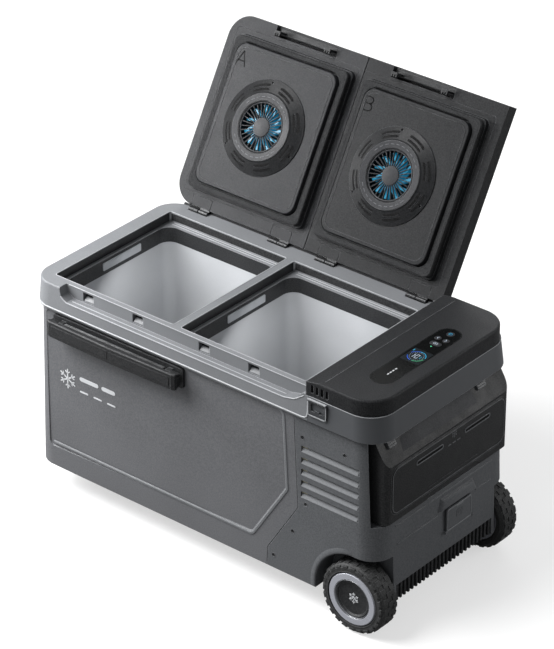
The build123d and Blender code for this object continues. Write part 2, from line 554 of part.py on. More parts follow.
for zone in RECESS_X:
    lid_x0, lid_x1 = LID_X[zone]
    recess_x0, recess_x1 = RECESS_X[zone]
    hook_x0, hook_x1 = HOOK_X[zone]
    plug_x = PLUG_X[zone]
    cavity_x0, cavity_x1 = recess_x0 - CAVITY_LEFT, recess_x1 + CAVITY_RIGHT[zone]
    fan_centre = lid_point(FAN_X[zone], FAN_S, 0)
    fan_profile = Plane(origin=fan_centre, x_dir=(1, 0, 0),
                        z_dir=(0, -LID_DIR[1], -LID_DIR[2]))
    fan_plane = Plane(origin=fan_centre, x_dir=(1, 0, 0), z_dir=LID_NORMAL)
    fan_axis = Axis(fan_centre, LID_NORMAL)

    with BuildPart() as lid_shell:
        with BuildSketch(LID_PLANE.offset(-LID_T)) as lid_outline:
            with Locations(((lid_x0 + lid_x1) / 2, (LID_S0 + LID_S1) / 2)):
                Rectangle(lid_x1 - lid_x0, LID_S1 - LID_S0)
            left = lid_outline.vertices().group_by(Axis.X)[0]
            right = lid_outline.vertices().group_by(Axis.X)[-1]
            fillet(left, LID_CORNERS[zone][0])
            fillet(right, LID_CORNERS[zone][1])
        extrude(lid_outline.sketch, amount=LID_T)
        fillet(lid_shell.faces().sort_by(fan_axis)[0].edges(), 5)
        lid_block(cavity_x0, cavity_x1, CAVITY_S0, CAVITY_S1, -LID_T + 3, 5, r=8, mode=CUT)
        lid_block(hook_x0 - 15, hook_x1 + 15, 385.2, 420, -25, 5, mode=CUT)      # latch slot
        for x in HINGE_X[zone]:
            lid_block(x - 25, x + 25, 0, 30.5, -2.4, 5, mode=CUT)
    save(lid_shell, "lid_%s_shell" % zone)

    with BuildPart() as lid_liner:
        lid_block(cavity_x0 + 0.3, cavity_x1 - 0.3, CAVITY_S0 + 0.3, CAVITY_S1 - 0.3, -3, 0,
                  r=7.7)
        lid_block(recess_x0 + 4.0, recess_x1 - 4.0, 39.5, 370.5, -0.5, 9, r=14, taper=12)
        lid_block(plug_x - PLUG_HALF - 3, plug_x + PLUG_HALF + 3, PLUG_S0 - 3, PLUG_S1 + 3,
                  8.5, PLUG_H, r=26, taper=9)
        fillet(lid_liner.faces().sort_by(fan_axis)[-1].edges(), 2)
        lid_block(plug_x - PLUG_HALF + 4, plug_x + PLUG_HALF - 4, PLUG_S0 + 4, PLUG_S1 - 4,
                  -5, PLUG_H - 3, r=18, mode=CUT)
        # fan cup with its spindle
        with BuildPart(mode=Mode.PRIVATE) as cup_space:
            disc(fan_plane.offset(3), 58.5, 40)
        add(cup_space.part, mode=CUT)
        spin(fan_profile, CUP_PROFILE, fan_axis)
    save(lid_liner, "lid_%s_liner" % zone)

    with BuildPart() as gasket:              # ring round the plug
        with BuildSketch(LID_PLANE.offset(9.05)) as gasket_ring:
            with Locations((plug_x, 205)):
                RectangleRounded(recess_x1 - recess_x0 - 16, 322, 13)
            with Locations((plug_x, (PLUG_S0 + PLUG_S1) / 2)):
                RectangleRounded(2 * PLUG_HALF + 8, PLUG_S1 - PLUG_S0 + 8, 28, mode=CUT)
        extrude(gasket_ring.sketch, amount=10.5)
        chamfer(gasket.faces().sort_by(fan_axis)[-1].edges(), 2)
    save(gasket, "lid_%s_gasket" % zone)

    with BuildPart() as grille:
        spin(fan_profile, GRILLE_PROFILE, fan_axis)
        for slot_r in (78.5, 85.5):          # two rings of arc slots
            with BuildSketch(fan_plane.offset(20)) as slots:
                for i in range(8):
                    with BuildLine(mode=Mode.PRIVATE) as arc:
                        CenterArc((0, 0), slot_r, i * 45 + 10, 25)
                    SlotArc(arc.edges()[0], 3.2)
            extrude(slots.sketch, amount=25, mode=CUT)
        with BuildSketch(fan_plane.offset(31.0)) as fins:
            with PolarLocations(35, 32):
                Rectangle(34, 1.7)
            Circle(19)
        extrude(fins.sketch, amount=3.0)
        for i in range(3):                   # holes in the outer flange
            angle = math.radians(97 + 120 * i)
            with BuildSketch(fan_plane.offset(22)) as hole:
                with Locations((92 * math.cos(angle), 92 * math.sin(angle))):
                    Circle(2.4)
            extrude(hole.sketch, amount=20, mode=CUT)
    save(grille, "lid_%s_grille" % zone)

    with BuildPart() as rotor:
        with BuildSketch(fan_plane.offset(12)) as blades:
            Circle(17)
            with PolarLocations(30.5, 11):
                Rectangle(33, 5, rotation=28)
        extrude(blades.sketch, amount=14)
        disc(fan_plane.offset(9.3), 8, 4)
        disc(fan_plane.offset(5), SPINDLE_BORE, 30, CUT)
    save(rotor, "fan_%s_rotor" % zone)

    with BuildPart() as lid_hardware:        # lid-side hinge leaves and the latch pin
        for x in HINGE_X[zone]:
            rod((x + 1, HINGE_Y, HINGE_Z), (1, 0, 0), KNUCKLE_R, 23)
            lid_block(x + 1, x + 24, 2, 29.5, -2.3, -0.1)
            rod((x, HINGE_Y, HINGE_Z), (1, 0, 0), PIN_BORE, 30, CUT)
        rod(lid_point(hook_x0 - 14.9, LATCH_S, LATCH_N), (1, 0, 0), PIN_R,
            hook_x1 - hook_x0 + 29.8)
    save(lid_hardware, "lid_%s_hardware" % zone)

    with BuildPart() as latch:               # bar with two toothed hooks
        lid_block(hook_x0 - 13.5, hook_x1 + 13.5, 389.5, 406.5, -22.5, -8.5)
        fillet(latch.edges().filter_by(Axis.X), 5)
        for x in (hook_x0, hook_x1):
            lid_block(x - 7, x + 7, 392.3, 397, -14, 15)
            for dx in (-5.5, 0, 5.5):
                lid_block(x + dx - 1.5, x + dx + 1.5, 387.6, 395, 9.2, 15)
        rod(lid_point(hook_x0 - 16, LATCH_S, LATCH_N), (1, 0, 0), PIN_BORE,
            hook_x1 - hook_x0 + 32, CUT)
    save(latch, "latch_%s" % zone)

with BuildPart() as hinge_leaves:            # rim-side leaves
    for zone in RECESS_X:
        for x in HINGE_X[zone]:
            rod((x - 24, HINGE_Y, HINGE_Z), (1, 0, 0), KNUCKLE_R, 23)
            block(x - 24, x - 1, HINGE_Y - 2, HINGE_Y + 2, 466.2, 480)
            rod((x - 30, HINGE_Y, HINGE_Z), (1, 0, 0), PIN_R, 30, CUT)
save(hinge_leaves, "hinge_leaves")

with BuildPart() as pivot_pins:              # lid hinges, carry grips and inlet flap
    for zone in RECESS_X:
        for x in HINGE_X[zone]:
            rod((x - 23.5, HINGE_Y, HINGE_Z), (1, 0, 0), PIN_R, 47)
    for sign in (-1, 1):
        for x in (GRIP_X0 + 8, GRIP_X1 - 33):
            rod((x, sign * GRIP_PIVOT_Y, GRIP_PIVOT_Z), (1, 0, 0), GRIP_PIVOT_R, 25)
    rod((FLAP_X, FLAP_Y0 - 4.8, FLAP_Z0), (0, 1, 0), 1.0, FLAP_Y1 - FLAP_Y0 + 9.6)
save(pivot_pins, "pivot_pins")


# ---- carry handles --------------------------------------------------------------------
def grip_lug(x, width, sign, y_near, y_far, bore, overrun):
    """Arm between two y distances, with a bored knuckle on the grip pivot."""
    y0, y1 = span(sign, y_near, y_far)
    pivot_y = sign * GRIP_PIVOT_Y
    block(x, x + width, y0, y1, GRIP_PIVOT_Z - 5, GRIP_PIVOT_Z + 5)
    rod((x, pivot_y, GRIP_PIVOT_Z), (1, 0, 0), 5.0, width)
    rod((x - 5, pivot_y, GRIP_PIVOT_Z), (1, 0, 0), bore, width + overrun, CUT)


with BuildPart() as carry_plates:
    for sign in (-1, 1):
        y0, y1 = span(sign, 204.2, 210.0)
        prism(xz(y1), GRIP_X0 - 2, GRIP_X1 + 2, 373, 416, y1 - y0, r=5)
        for x in (GRIP_X0 + 22, GRIP_X1 - 33):
            grip_lug(x, 11, sign, 208, GRIP_PIVOT_Y, GRIP_PIVOT_R, 10)
save(carry_plates, "carry_plates")

# Left half of the grip in plan, from its inner corner out to the middle: inset from the end, y
for side, sign in SIDES:
    with BuildPart() as grip:
        polygon(Plane.XY.offset(377),
                [(GRIP_X0, sign * 224.6), (GRIP_X0, sign * 231), (GRIP_X0 + 8, sign * 233.5),
                 ((GRIP_X0 + GRIP_X1) / 2, sign * 236.5), (GRIP_X1 - 8, sign * 233.5),
                 (GRIP_X1, sign * 231), (GRIP_X1, sign * 224.6)], 35.5)
        fillet(grip.edges().filter_by(Axis.Z).group_by(Axis.X)[0]
               + grip.edges().filter_by(Axis.Z).group_by(Axis.X)[-1], 2)
        chamfer(grip.faces().sort_by(Axis.Z)[-1].edges()
                + grip.faces().sort_by(Axis.Z)[0].edges(), 1.5)
        for x in (GRIP_X0 + 9, GRIP_X1 - 21):
            grip_lug(x, 12, sign, GRIP_PIVOT_Y, 226, SPINDLE_BORE, 10)
    save(grip, "carry_grip_" + side)

# ---- tow handle -----------------------------------------------------------------------
with BuildPart() as tow_guide:               # tray with two sleeves
    block(-441.5, -422.2, -TRAY_HALF, TRAY_HALF, TRAY_Z0, TRAY_Z1)
    block(-460, -425.5, -126, 126, 72.5, 109.5, mode=CUT)
    for y in (-TOW_Y, TOW_Y):
        rod((-423, y, TOW_Z), (1, 0, 0), 10.0, 304)
        rod((-430, y, TOW_Z), (1, 0, 0), 7.35, 320, CUT)
save(tow_guide, "tow_guide")

with BuildPart() as tow_handle:
    block(-452, -434, -122, 122, TOW_Z - 13, TOW_Z + 13, r=8.9)
    fillet(tow_handle.edges().group_by(Axis.Z)[-1], 6)
    fillet(tow_handle.edges().group_by(Axis.Z)[0], 6)
    for y in (-TOW_Y, TOW_Y):
        rod((-436, y, TOW_Z), (1, 0, 0), 7.0, 312)
save(tow_handle, "tow_handle")

# ---- battery pack ---------------------------------------------------------------------
with BuildPart() as battery_pack:
    polygon(xz(PACK_Y1), [(PACK_X0, PACK_Z0), (PACK_X1, PACK_Z0), (PACK_X1, 369),
                          (PACK_X1 - 30, PACK_Z1), (PACK_X0, PACK_Z1)], PACK_Y1 - PACK_Y0)
    fillet(battery_pack.edges().filter_by(Axis.Z).group_by(Axis.X)[-1], 14)
    # notch at the foot of the outer face
    polygon(yz(PACK_X1 - 3), [(-64, 236), (-46, 256), (93, 256), (122, 236)], 10, CUT)
    rod((PACK_X0 - 5, CONNECTOR_Y, CONNECTOR_Z), (1, 0, 0), 13, 20, CUT)
save(battery_pack, "battery_pack")

# ---- machine bay ----------------------------------------------------------------------
with BuildPart() as battery_connector:
    rod((356, CONNECTOR_Y, CONNECTOR_Z), (1, 0, 0), 11.5, 24)
    rod((352, CONNECTOR_Y, CONNECTOR_Z), (1, 0, 0), 16, 10.6)
save(battery_connector, "battery_connector")

COMPRESSOR_X, COMPRESSOR_Y = 330, -50
with BuildPart() as compressor:
    rod((COMPRESSOR_X, COMPRESSOR_Y, 84), (0, 0, 1), 50, 118)
    fillet(compressor.faces().sort_by(Axis.Z)[-1].edges(), 22)
    fillet(compressor.faces().sort_by(Axis.Z)[0].edges(), 10)
    block(276, 364, -96, -4, 76, 86)         # mounting plate on four feet
    for x in (282, 358):
        for y in (-92, -8):
            rod((x, y, BODY_LOW + 3.6), (0, 0, 1), 6, 16)
save(compressor, "compressor")

CONDENSER_Y = -145
with BuildPart() as condenser:
    block(270, 358, CONDENSER_Y - 17, CONDENSER_Y + 17, 250, 376)
    for i in range(17):                      # gaps between the fins
        z = 256 + 7 * i
        block(274, 354, -170, -120, z, z + 3.4, mode=CUT)
    for z in (270, 298, 326, 354):
        rod((268, CONDENSER_Y, z), (1, 0, 0), 4, 92)
save(condenser, "condenser")

COOLING_FAN_X, COOLING_FAN_Z = 314.0, 318.0
SHROUD_Y = -166
with BuildPart() as condenser_fan_shroud:
    with BuildSketch(xz(SHROUD_Y)) as frame:
        with Locations((COOLING_FAN_X, COOLING_FAN_Z)):
            RectangleRounded(92, 92, 6)
            Circle(42, mode=CUT)
    extrude(frame.sketch, amount=22)
    with BuildSketch(xz(SHROUD_Y)) as spider:
        with Locations((COOLING_FAN_X, COOLING_FAN_Z)):
            Circle(12)
            Rectangle(90, 5)
            Rectangle(5, 90)
    extrude(spider.sketch, amount=3)
    rod((COOLING_FAN_X, SHROUD_Y - 1, COOLING_FAN_Z), (0, -1, 0), 2.5, 19)
save(condenser_fan_shroud, "condenser_fan_shroud")

with BuildPart() as condenser_fan_rotor:
    with BuildSketch(xz(SHROUD_Y - 4)) as blades:
        with Locations((COOLING_FAN_X, COOLING_FAN_Z)):
            Circle(14)
            with PolarLocations(26, 7):
                Rectangle(27, 8, rotation=30)
            Circle(SPINDLE_BORE, mode=CUT)
    extrude(blades.sketch, amount=15)
save(condenser_fan_rotor, "condenser_fan_rotor")

LINE_R = 3.0
with BuildPart() as refrigerant_lines:       # from the compressor up to the condenser
    stops = [(COMPRESSOR_X, COMPRESSOR_Y, 202.4), (COMPRESSOR_X, COMPRESSOR_Y, 225),
             (280, COMPRESSOR_Y, 235), (280, CONDENSER_Y, 235), (280, CONDENSER_Y, 249.6)]
    for start, end in zip(stops, stops[1:]):
        run = Vector(*end) - Vector(*start)
        rod(start, run, LINE_R, run.length)
    with Locations(*stops[1:-1]):
        Sphere(LINE_R)
save(refrigerant_lines, "refrigerant_lines")

with BuildPart() as power_board:
    block(272, 350, 30, 185, 286, 288, r=3)
    block(280, 300, 45, 75, 288, 312)
    block(310, 340, 50, 78, 288, 305)
    for y in (100, 120, 140):
        rod((295, y, 287.5), (0, 0, 1), 8, 26)
    block(318, 344, 95, 160, 288, 322)
save(power_board, "power_board")

with BuildPart() as power_inlet:             # two round sockets, each with a pin
    block(405, END_X - 1, FLAP_Y0 + 6.5, FLAP_Y1 - 6.5, FLAP_Z0 + 4.5, FLAP_Z1 - 4.5, r=2)
    for y in (24, 54):
        rod((440, y, 167), (-1, 0, 0), 9, 22, CUT)
        rod((412, y, 167), (1, 0, 0), 2, 17)
save(power_inlet, "power_inlet")

with BuildPart() as inlet_flap:
    block(FLAP_X - 1.7, FLAP_X + 1.4, FLAP_Y0, FLAP_Y1, FLAP_Z0, FLAP_Z1)
    fillet(inlet_flap.edges().filter_by(Axis.X).group_by(Axis.Z)[-1], 5)
    rod((FLAP_X, FLAP_Y0, FLAP_Z0), (0, 1, 0), 2.2, FLAP_Y1 - FLAP_Y0)
    rod((FLAP_X, FLAP_Y0 - 5, FLAP_Z0), (0, 1, 0), 1.05, 100, CUT)
save(inlet_flap, "inlet_flap")

with BuildPart() as cover_screws:
    for x, z in SCREWS:
        for sign in (-1, 1):
            rod((x, sign * (wall_y(z) - 0.6), z), (0, -sign, 0), 3.6, 3.7)
            rod((x, sign * (wall_y(z) - 0.4), z), (0, -sign, 0), 1.6, 1.8, CUT)
save(cover_screws, "cover_screws")
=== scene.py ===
"""Wheeled cooler with two tubs side by side and both lids standing open.

Lengths are millimetres unless noted; meshes are scaled to metres when they are made.
+Z is up. The front faces -Y. The wheels, console and battery pack are at the +X end, the tow
handle at the -X end. Tub and lid "a" lie towards -X, "b" towards +X.
"""
import bpy
import bmesh
import json
import math
import random
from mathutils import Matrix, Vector


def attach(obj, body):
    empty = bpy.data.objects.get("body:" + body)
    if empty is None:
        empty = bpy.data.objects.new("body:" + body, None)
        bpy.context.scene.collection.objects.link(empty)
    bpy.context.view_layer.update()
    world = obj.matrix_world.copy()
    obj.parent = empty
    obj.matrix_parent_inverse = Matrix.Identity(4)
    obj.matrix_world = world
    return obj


random.seed(7)
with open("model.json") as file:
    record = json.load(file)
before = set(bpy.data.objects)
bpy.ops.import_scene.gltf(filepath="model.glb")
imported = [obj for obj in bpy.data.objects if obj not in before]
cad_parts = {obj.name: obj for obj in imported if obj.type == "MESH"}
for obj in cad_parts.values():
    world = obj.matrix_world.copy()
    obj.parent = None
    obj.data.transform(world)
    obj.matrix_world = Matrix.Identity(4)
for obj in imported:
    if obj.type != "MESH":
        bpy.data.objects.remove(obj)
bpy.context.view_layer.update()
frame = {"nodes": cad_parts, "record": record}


# ============================ materials ============================
TONE_DRIFT = 0.06       # how far the base colour drifts darker and lighter
WORN_AND_HIGHLIGHT_TINT = "d8dade"    # colour of paled edges: wear and painted highlight
SPLIT_BLEND = 0.0005    # half-width of the change between two colours, metres


def linear(hex_colour):
    """Linear RGBA from an sRGB hex string."""
    srgb = [int(hex_colour[i:i + 2], 16) / 255 for i in (0, 2, 4)]
    return [c / 12.92 if c <= 0.04045 else ((c + 0.055) / 1.055) ** 2.4 for c in srgb] + [1]


def scaled(colour, factor):
    return [min(1, c * factor) for c in colour[:3]] + [1]


class Shader:
    """A material with a Principled surface and short calls for the nodes that feed it."""

    def __init__(self, name):
        self.material = bpy.data.materials.new(name)
        self.material.use_nodes = True
        self.tree = self.material.node_tree
        self.tree.nodes.clear()
        output = self.node("OutputMaterial")
        self.surface = self.node("BsdfPrincipled")
        self.put(output, {0: self.surface.outputs[0]})
        self.place = self.node("TexCoord").outputs["Object"]

    def put(self, node, inputs):
        """Link each socket, or set each plain value, by input name or index."""
        for key, value in inputs.items():
            if isinstance(value, bpy.types.NodeSocket):
                self.tree.links.new(value, node.inputs[key])
            else:
                node.inputs[key].default_value = value

    def node(self, kind, inputs={}, **settings):
        node = self.tree.nodes.new("ShaderNode" + kind)
        for key, value in settings.items():
            setattr(node, key, value)
        self.put(node, inputs)
        return node

    def noise(self, scale, detail=2.0, rough=0.5, stretch=None):
        place = self.place
        if stretch:
            place = self.node("Mapping", {"Vector": place, "Scale": stretch}).outputs[0]
        return self.node("TexNoise", {"Vector": place, "Scale": scale, "Detail": detail,
                                      "Roughness": rough}).outputs[0]

    def ramp(self, value, low, high, to_low=0, to_high=1):
        return self.node("MapRange", {"Value": value, "From Min": low, "From Max": high,
                                      "To Min": to_low, "To Max": to_high}).outputs[0]

    def multiply(self, first, second):
        return self.node("Math", {0: first, 1: second}, operation="MULTIPLY").outputs[0]

    def mix(self, share, first, second):
        return self.node("Mix", {0: share, 6: first, 7: second}, data_type="RGBA").outputs[2]

    def coordinate(self, axis):
        return self.node("SeparateXYZ", {"Vector": self.place}).outputs[axis]


def finish_material(name, base, rough=0.5, rough_var=0.08, speckle=0.05, speckle_scale=420,
                    grain=900, bump=0.12, depth=0.0002, edge=0.10, radius=0.0009,
                    metallic=0.0, coat=0.0, spec=0.32, stretch=None, sheen=0.0,
                    fade=None, split=None, glow=None):
    """Surface with tone drift, fine speckle, grain bump, uneven roughness and paler edges that
    are partly wear and partly painted highlight.

    depth and radius are metres. fade is (low z, high z, darkening at the low end), painted
    shade towards the low end; split is (x, colour beyond it), both in metres, and glow is
    (colour, strength).
    """
    shader = Shader(name)
    black, white = [0, 0, 0, 1], [1, 1, 1, 1]
    colour = linear(base)
    drift = shader.noise(scale=5.5, detail=3.0)
    colour = shader.mix(shader.ramp(drift, low=0.35, high=0.65),
                        scaled(colour, 1 - TONE_DRIFT), scaled(colour, 1 + TONE_DRIFT))
    fleck = shader.noise(scale=speckle_scale, detail=1.5, rough=0.6, stretch=stretch)
    colour = shader.mix(shader.ramp(fleck, low=0.30, high=0.70),
                        shader.mix(speckle, colour, black), shader.mix(speckle, colour, white))
    # Painted shade: the colour darkens towards the low end of the height span.
    if fade:
        low, high, amount = fade
        share = shader.ramp(shader.coordinate(2), low=low, high=high)
        colour = shader.mix(share, shader.mix(amount, colour, black), colour)
    if split:
        split_x, beyond = split[0], linear(split[1])
        beyond = shader.mix(shader.ramp(fleck, low=0.30, high=0.70),
                            scaled(beyond, 1 - speckle), beyond)
        share = shader.ramp(shader.coordinate(0), low=split_x - SPLIT_BLEND,
                            high=split_x + SPLIT_BLEND)
        colour = shader.mix(share, colour, beyond)

    # Edges are where the bevelled normal leaves the true one; they are paled as wear and as a
    # painted highlight, and noise makes them patchy.
    bevel = shader.node("Bevel", {"Radius": radius}, samples=3)
    normal = shader.node("NewGeometry").outputs["Normal"]
    match = shader.node("VectorMath", {0: bevel.outputs[0], 1: normal}, operation="DOT_PRODUCT")
    wear_and_highlight = shader.ramp(match.outputs["Value"], low=0.995, high=0.86)
    patches = shader.ramp(shader.noise(scale=38, detail=4.0, rough=0.6),
                          low=0.36, high=0.62, to_low=0.35, to_high=1.0)
    wear_and_highlight = shader.multiply(wear_and_highlight, patches)
    colour = shader.mix(shader.multiply(wear_and_highlight, edge), colour, linear(WORN_AND_HIGHLIGHT_TINT))

    grain_noise = shader.noise(scale=grain, detail=2.5, rough=0.6, stretch=stretch)
    relief = shader.node("Bump", {"Height": grain_noise, "Strength": bump, "Distance": depth,
                                  "Normal": bevel.outputs[0]})
    roughness = shader.ramp(shader.noise(scale=23, detail=4.0, rough=0.65), low=0.3, high=0.7,
                            to_low=rough - rough_var, to_high=rough + rough_var)
    shader.put(shader.surface, {
        "Base Color": colour, "Roughness": roughness, "Normal": relief.outputs[0],
        "Metallic": metallic, "Coat Weight": coat, "Coat Roughness": 0.08,
        "Specular IOR Level": spec, "Sheen Weight": sheen})
    if glow:
        strength = shader.ramp(shader.noise(scale=60), low=0.3, high=0.7,
                               to_low=glow[1] * 0.8, to_high=glow[1] * 1.2)
        shader.put(shader.surface, {"Emission Color": linear(glow[0]),
                                    "Emission Strength": strength})
    return shader.material


def lamp(base, glow, strength):
    """Look of a lit mark on the console."""
    return dict(base=base, rough=0.3, speckle=0.01, bump=0.01, edge=0.0, glow=(glow, strength))


MOULDED = dict(rough=0.52, speckle=0.04, speckle_scale=360, bump=0.22, depth=0.0003,
               radius=0.0016, spec=0.22)
LID_SKIN = dict(rough=0.47, rough_var=0.035, speckle=0.02, speckle_scale=360, bump=0.18,
                depth=0.0003, radius=0.0018)
LOOKS = {
    "casing_grey": dict(MOULDED, base="5e5f62", edge=0.40),
    "cover_grey": dict(MOULDED, base="525457", edge=0.36),
    "rim_grey": dict(base="76787b", split=(0.2675, "525457"), rough=0.42, speckle=0.02,
                     speckle_scale=500, bump=0.12, edge=0.55, radius=0.0018, spec=0.25),
    # Both lids are one plastic; lid a's skin is painted a little lighter than lid b's, painted
    # light from the -X side.
    "lid_grey": dict(LID_SKIN, base="1f2023", edge=0.24, spec=0.15),
    "lid_dark": dict(LID_SKIN, base="18191b", edge=0.22, spec=0.12),
    "console_dark": dict(base="1d1e20", rough=0.48, rough_var=0.05, speckle=0.02, bump=0.16,
                         edge=0.30, radius=0.0018, spec=0.12),
    "black_plastic": dict(base="18191b", rough=0.44, speckle=0.03, bump=0.18, edge=0.24,
                          radius=0.0016, spec=0.20),
    # The liner is painted darker towards the tub floor, a painted shade.
    "liner_pale": dict(base="aaacaf", rough=0.38, speckle=0.012, bump=0.05, edge=0.15,
                       fade=(0.11, 0.42, 0.05), coat=0.1),
    "collar_dark": dict(base="1d1e20", rough=0.40, speckle=0.02, bump=0.12, edge=0.2),
    "foam": dict(base="d9cfa6", rough=0.9, speckle=0.12, speckle_scale=260, grain=300,
                 bump=0.7, depth=0.0008, edge=0.1),
    "lens": dict(base="8f9296", rough=0.35, speckle=0.02, bump=0.05, edge=0.2,
                 glow=("dfe4ea", 0.10)),
    "gloss_black": dict(base="060707", rough=0.26, rough_var=0.05, speckle=0.004, bump=0.01,
                        edge=0.10, spec=0.05),
    "screen": dict(base="060c10", rough=0.3, speckle=0.02, bump=0.02, edge=0.05, spec=0.08,
                   glow=("0a1c24", 0.10)),
    "board_green": dict(base="1f5a3a", rough=0.45, speckle=0.15, speckle_scale=160,
                        bump=0.25, edge=0.15),
    "steel": dict(base="9c9ea1", rough=0.32, speckle=0.05, stretch=(1, 1, 18), grain=300,
                  bump=0.12, edge=0.25, metallic=1.0),
    "dark_steel": dict(base="1d1e20", rough=0.36, speckle=0.04, bump=0.16, edge=0.40,
                       metallic=0.5),
    "compressor_black": dict(base="151618", rough=0.30, speckle=0.02, bump=0.1, edge=0.2,
                             coat=0.3),
    "copper": dict(base="b06a42", rough=0.28, speckle=0.06, bump=0.08, edge=0.2,
                   metallic=1.0),
    "aluminium_fin": dict(base="a9acb0", rough=0.34, speckle=0.04, stretch=(20, 1, 1),
                          grain=260, bump=0.12, edge=0.2, metallic=1.0),
    "rubber_black": dict(base="18191b", rough=0.72, speckle=0.03, grain=1300, bump=0.35,
                         edge=0.08, sheen=0.03, spec=0.12),
    "tyre_black": dict(base="161718", rough=0.62, speckle=0.04, grain=700, bump=0.35,
                       edge=0.16, sheen=0.05),
    "hub_grey": dict(base="a6a8b0", rough=0.30, speckle=0.02, bump=0.08, edge=0.30,
                     metallic=0.1),
    # The fan's glow is painted light: the blue blades are no lamp.
    "fan_blue": dict(base="1f86a8", rough=0.3, speckle=0.02, bump=0.04, edge=0.3, coat=0.1,
                     glow=("1f8fb8", 0.30)),
    "silver_print": dict(base="cfd1d4", rough=0.34, speckle=0.03, bump=0.06, edge=0.1,
                         metallic=0.1),
    "shadow_inlay": dict(base="060607", rough=0.60, speckle=0.02, bump=0.1, edge=0.04,
                         spec=0.04),
    "lit_cyan": lamp(base="2f9fc0", glow="2fa6cc", strength=0.55),
    "lit_green": lamp(base="4fb98a", glow="4fc08c", strength=0.5),
    "lit_blue": lamp(base="2a62c8", glow="2b6fe0", strength=0.5),
    "lit_white": lamp(base="c2ccd8", glow="c4d4e6", strength=0.22),
    "tone_mark": dict(base="3c3d40", rough=0.36, speckle=0.02, bump=0.05, edge=0.1),
    # Pale lines painted along rim edges as highlights, darker past the console end like the rim.
    "rim_edge": dict(base="a9abae", split=(0.2705, "6f7174"), rough=0.34, speckle=0.02,
                     bump=0.08, edge=0.3),
    # Paler grey painted where faces and edges catch the light: a painted highlight.
    "louvre_blade": dict(base="6a6c6f", rough=0.42, speckle=0.04, speckle_scale=380,
                         bump=0.2, edge=0.35),
    "grille_black": dict(base="131416", rough=0.34, speckle=0.02, bump=0.08, edge=0.34,
                         spec=0.10),
    "grille_face": dict(base="292a2d", rough=0.38, speckle=0.02, bump=0.08, edge=0.34,
                        spec=0.14),
    "grille_dash": dict(base="5c5e62", rough=0.4, speckle=0.02, bump=0.05, edge=0.1),
    # Lighter grey on the pack's top slope: painted light on a face turned up.
    "pack_slope": dict(base="3a3b3e", rough=0.5, speckle=0.03, bump=0.15, edge=0.2,
                       spec=0.15),
    "button_grey": dict(base="232427", rough=0.4, speckle=0.01, bump=0.05, edge=0.25,
                        spec=0.2),
    "opener_grey": dict(base="343639", rough=0.34, speckle=0.02, bump=0.08, edge=0.5,
                        spec=0.3),
    "opener_bar": dict(base="a4a6a9", rough=0.34, speckle=0.02, bump=0.08, edge=0.4,
                       spec=0.3),
    # Pale line painted as the highlight on the console seam.
    "seam_edge": dict(base="8b8d90", rough=0.36, speckle=0.02, bump=0.06, edge=0.3,
                      spec=0.25),
    # Pale grey for the pack's mark and for highlight lines painted round its face and slots.
    "pack_line": dict(base="595b5e", rough=0.40, speckle=0.02, bump=0.06, edge=0.3),
}
MATERIALS = {name: finish_material(name, **look) for name, look in LOOKS.items()}

# Every loaded piece takes its slot's material; a few then get a material of their own.
slots = {part["node"]: part["material_slot"] for part in frame["record"].get("subparts", [])}
for name, piece in frame["nodes"].items():
    slot = slots.get(name, "black_plastic")
    piece.data.materials.clear()
    piece.data.materials.append(MATERIALS[slot])
OWN_MATERIALS = {
    "grille_black": ("lid_a_grille", "lid_b_grille"),
    "button_grey": ("button_power", "button_up", "button_down", "button_zone"),
    "opener_grey": ("bottle_opener",),
}
for material, names in OWN_MATERIALS.items():
    for name in names:
        frame["nodes"][name].data.materials[0] = MATERIALS[material]


# ============================ outlines and planes ============================
class Plane:
    """A drawing plane with unit directions across and up, and its normal out."""

    def __init__(self, origin, across, up):
        self.origin = Vector(origin)
        self.across = Vector(across).normalized()
        self.up = Vector(up).normalized()
        self.out = self.across.cross(self.up)

    def at(self, x, y, height):
        return self.origin + self.across * x + self.up * y + self.out * height

    def lift(self, outline, height):
        return [self.at(x, y, height) for x, y in outline]


def facing(side, y):
    """Upright plane at y, seen from the front (side -1) or the rear (side 1)."""
    return Plane((0, y, 0), (-side, 0, 0), (0, 0, 1))


def end_plane(x):
    """Upright plane at x facing +X."""
    return Plane((x, 0, 0), (0, 1, 0), (0, 0, 1))


def middle_and_width(low, high):
    return (low + high) / 2, high - low


def rectangle(x0, x1, y0, y1):
    return [(x0, y0), (x1, y0), (x1, y1), (x0, y1)]


def polar(x, y, radius, degrees):
    angle = math.radians(degrees)
    return x + radius * math.cos(angle), y + radius * math.sin(angle)


def arc(x, y, radius, start, end, steps):
    return [polar(x, y, radius, start + (end - start) * i / steps) for i in range(steps + 1)]


def circle(x, y, radius, steps):
    return [polar(x, y, radius, 360 * i / steps) for i in range(steps)]


def round_rect(x, y, width, height, radius, steps=5):
    """Counter-clockwise rounded rectangle centred at x, y."""
    radius = max(min(radius, width / 2 - 1e-4, height / 2 - 1e-4), 1e-4)
    outline = []
    for turn, (sign_x, sign_y) in enumerate(((1, 1), (-1, 1), (-1, -1), (1, -1))):
        outline += arc(x + sign_x * (width / 2 - radius), y + sign_y * (height / 2 - radius),
                       radius, 90 * turn, 90 * turn + 90, steps)
    return outline


def rounded_polygon(corners, radii, grow, steps):
    """Counter-clockwise convex outline with rounded corners, moved outward by grow."""
    outline, count = [], len(corners)
    for i in range(count):
        last, here, following = [Vector((*corners[j % count], 0)) for j in (i - 1, i, i + 1)]
        edge_in, edge_out = (here - last).normalized(), (following - here).normalized()
        normal_in = Vector((edge_in.y, -edge_in.x, 0))
        normal_out = Vector((edge_out.y, -edge_out.x, 0))
        turn = edge_in.angle(edge_out)
        reach = radii[i] / math.cos(turn / 2)
        centre = here - (normal_in + normal_out).normalized() * reach
        start = math.atan2(normal_in.y, normal_in.x)
        for step in range(steps + 1):
            angle = start + turn * step / steps
            outline.append((centre.x + (radii[i] + grow) * math.cos(angle),
                            centre.y + (radii[i] + grow) * math.sin(angle)))
    return outline


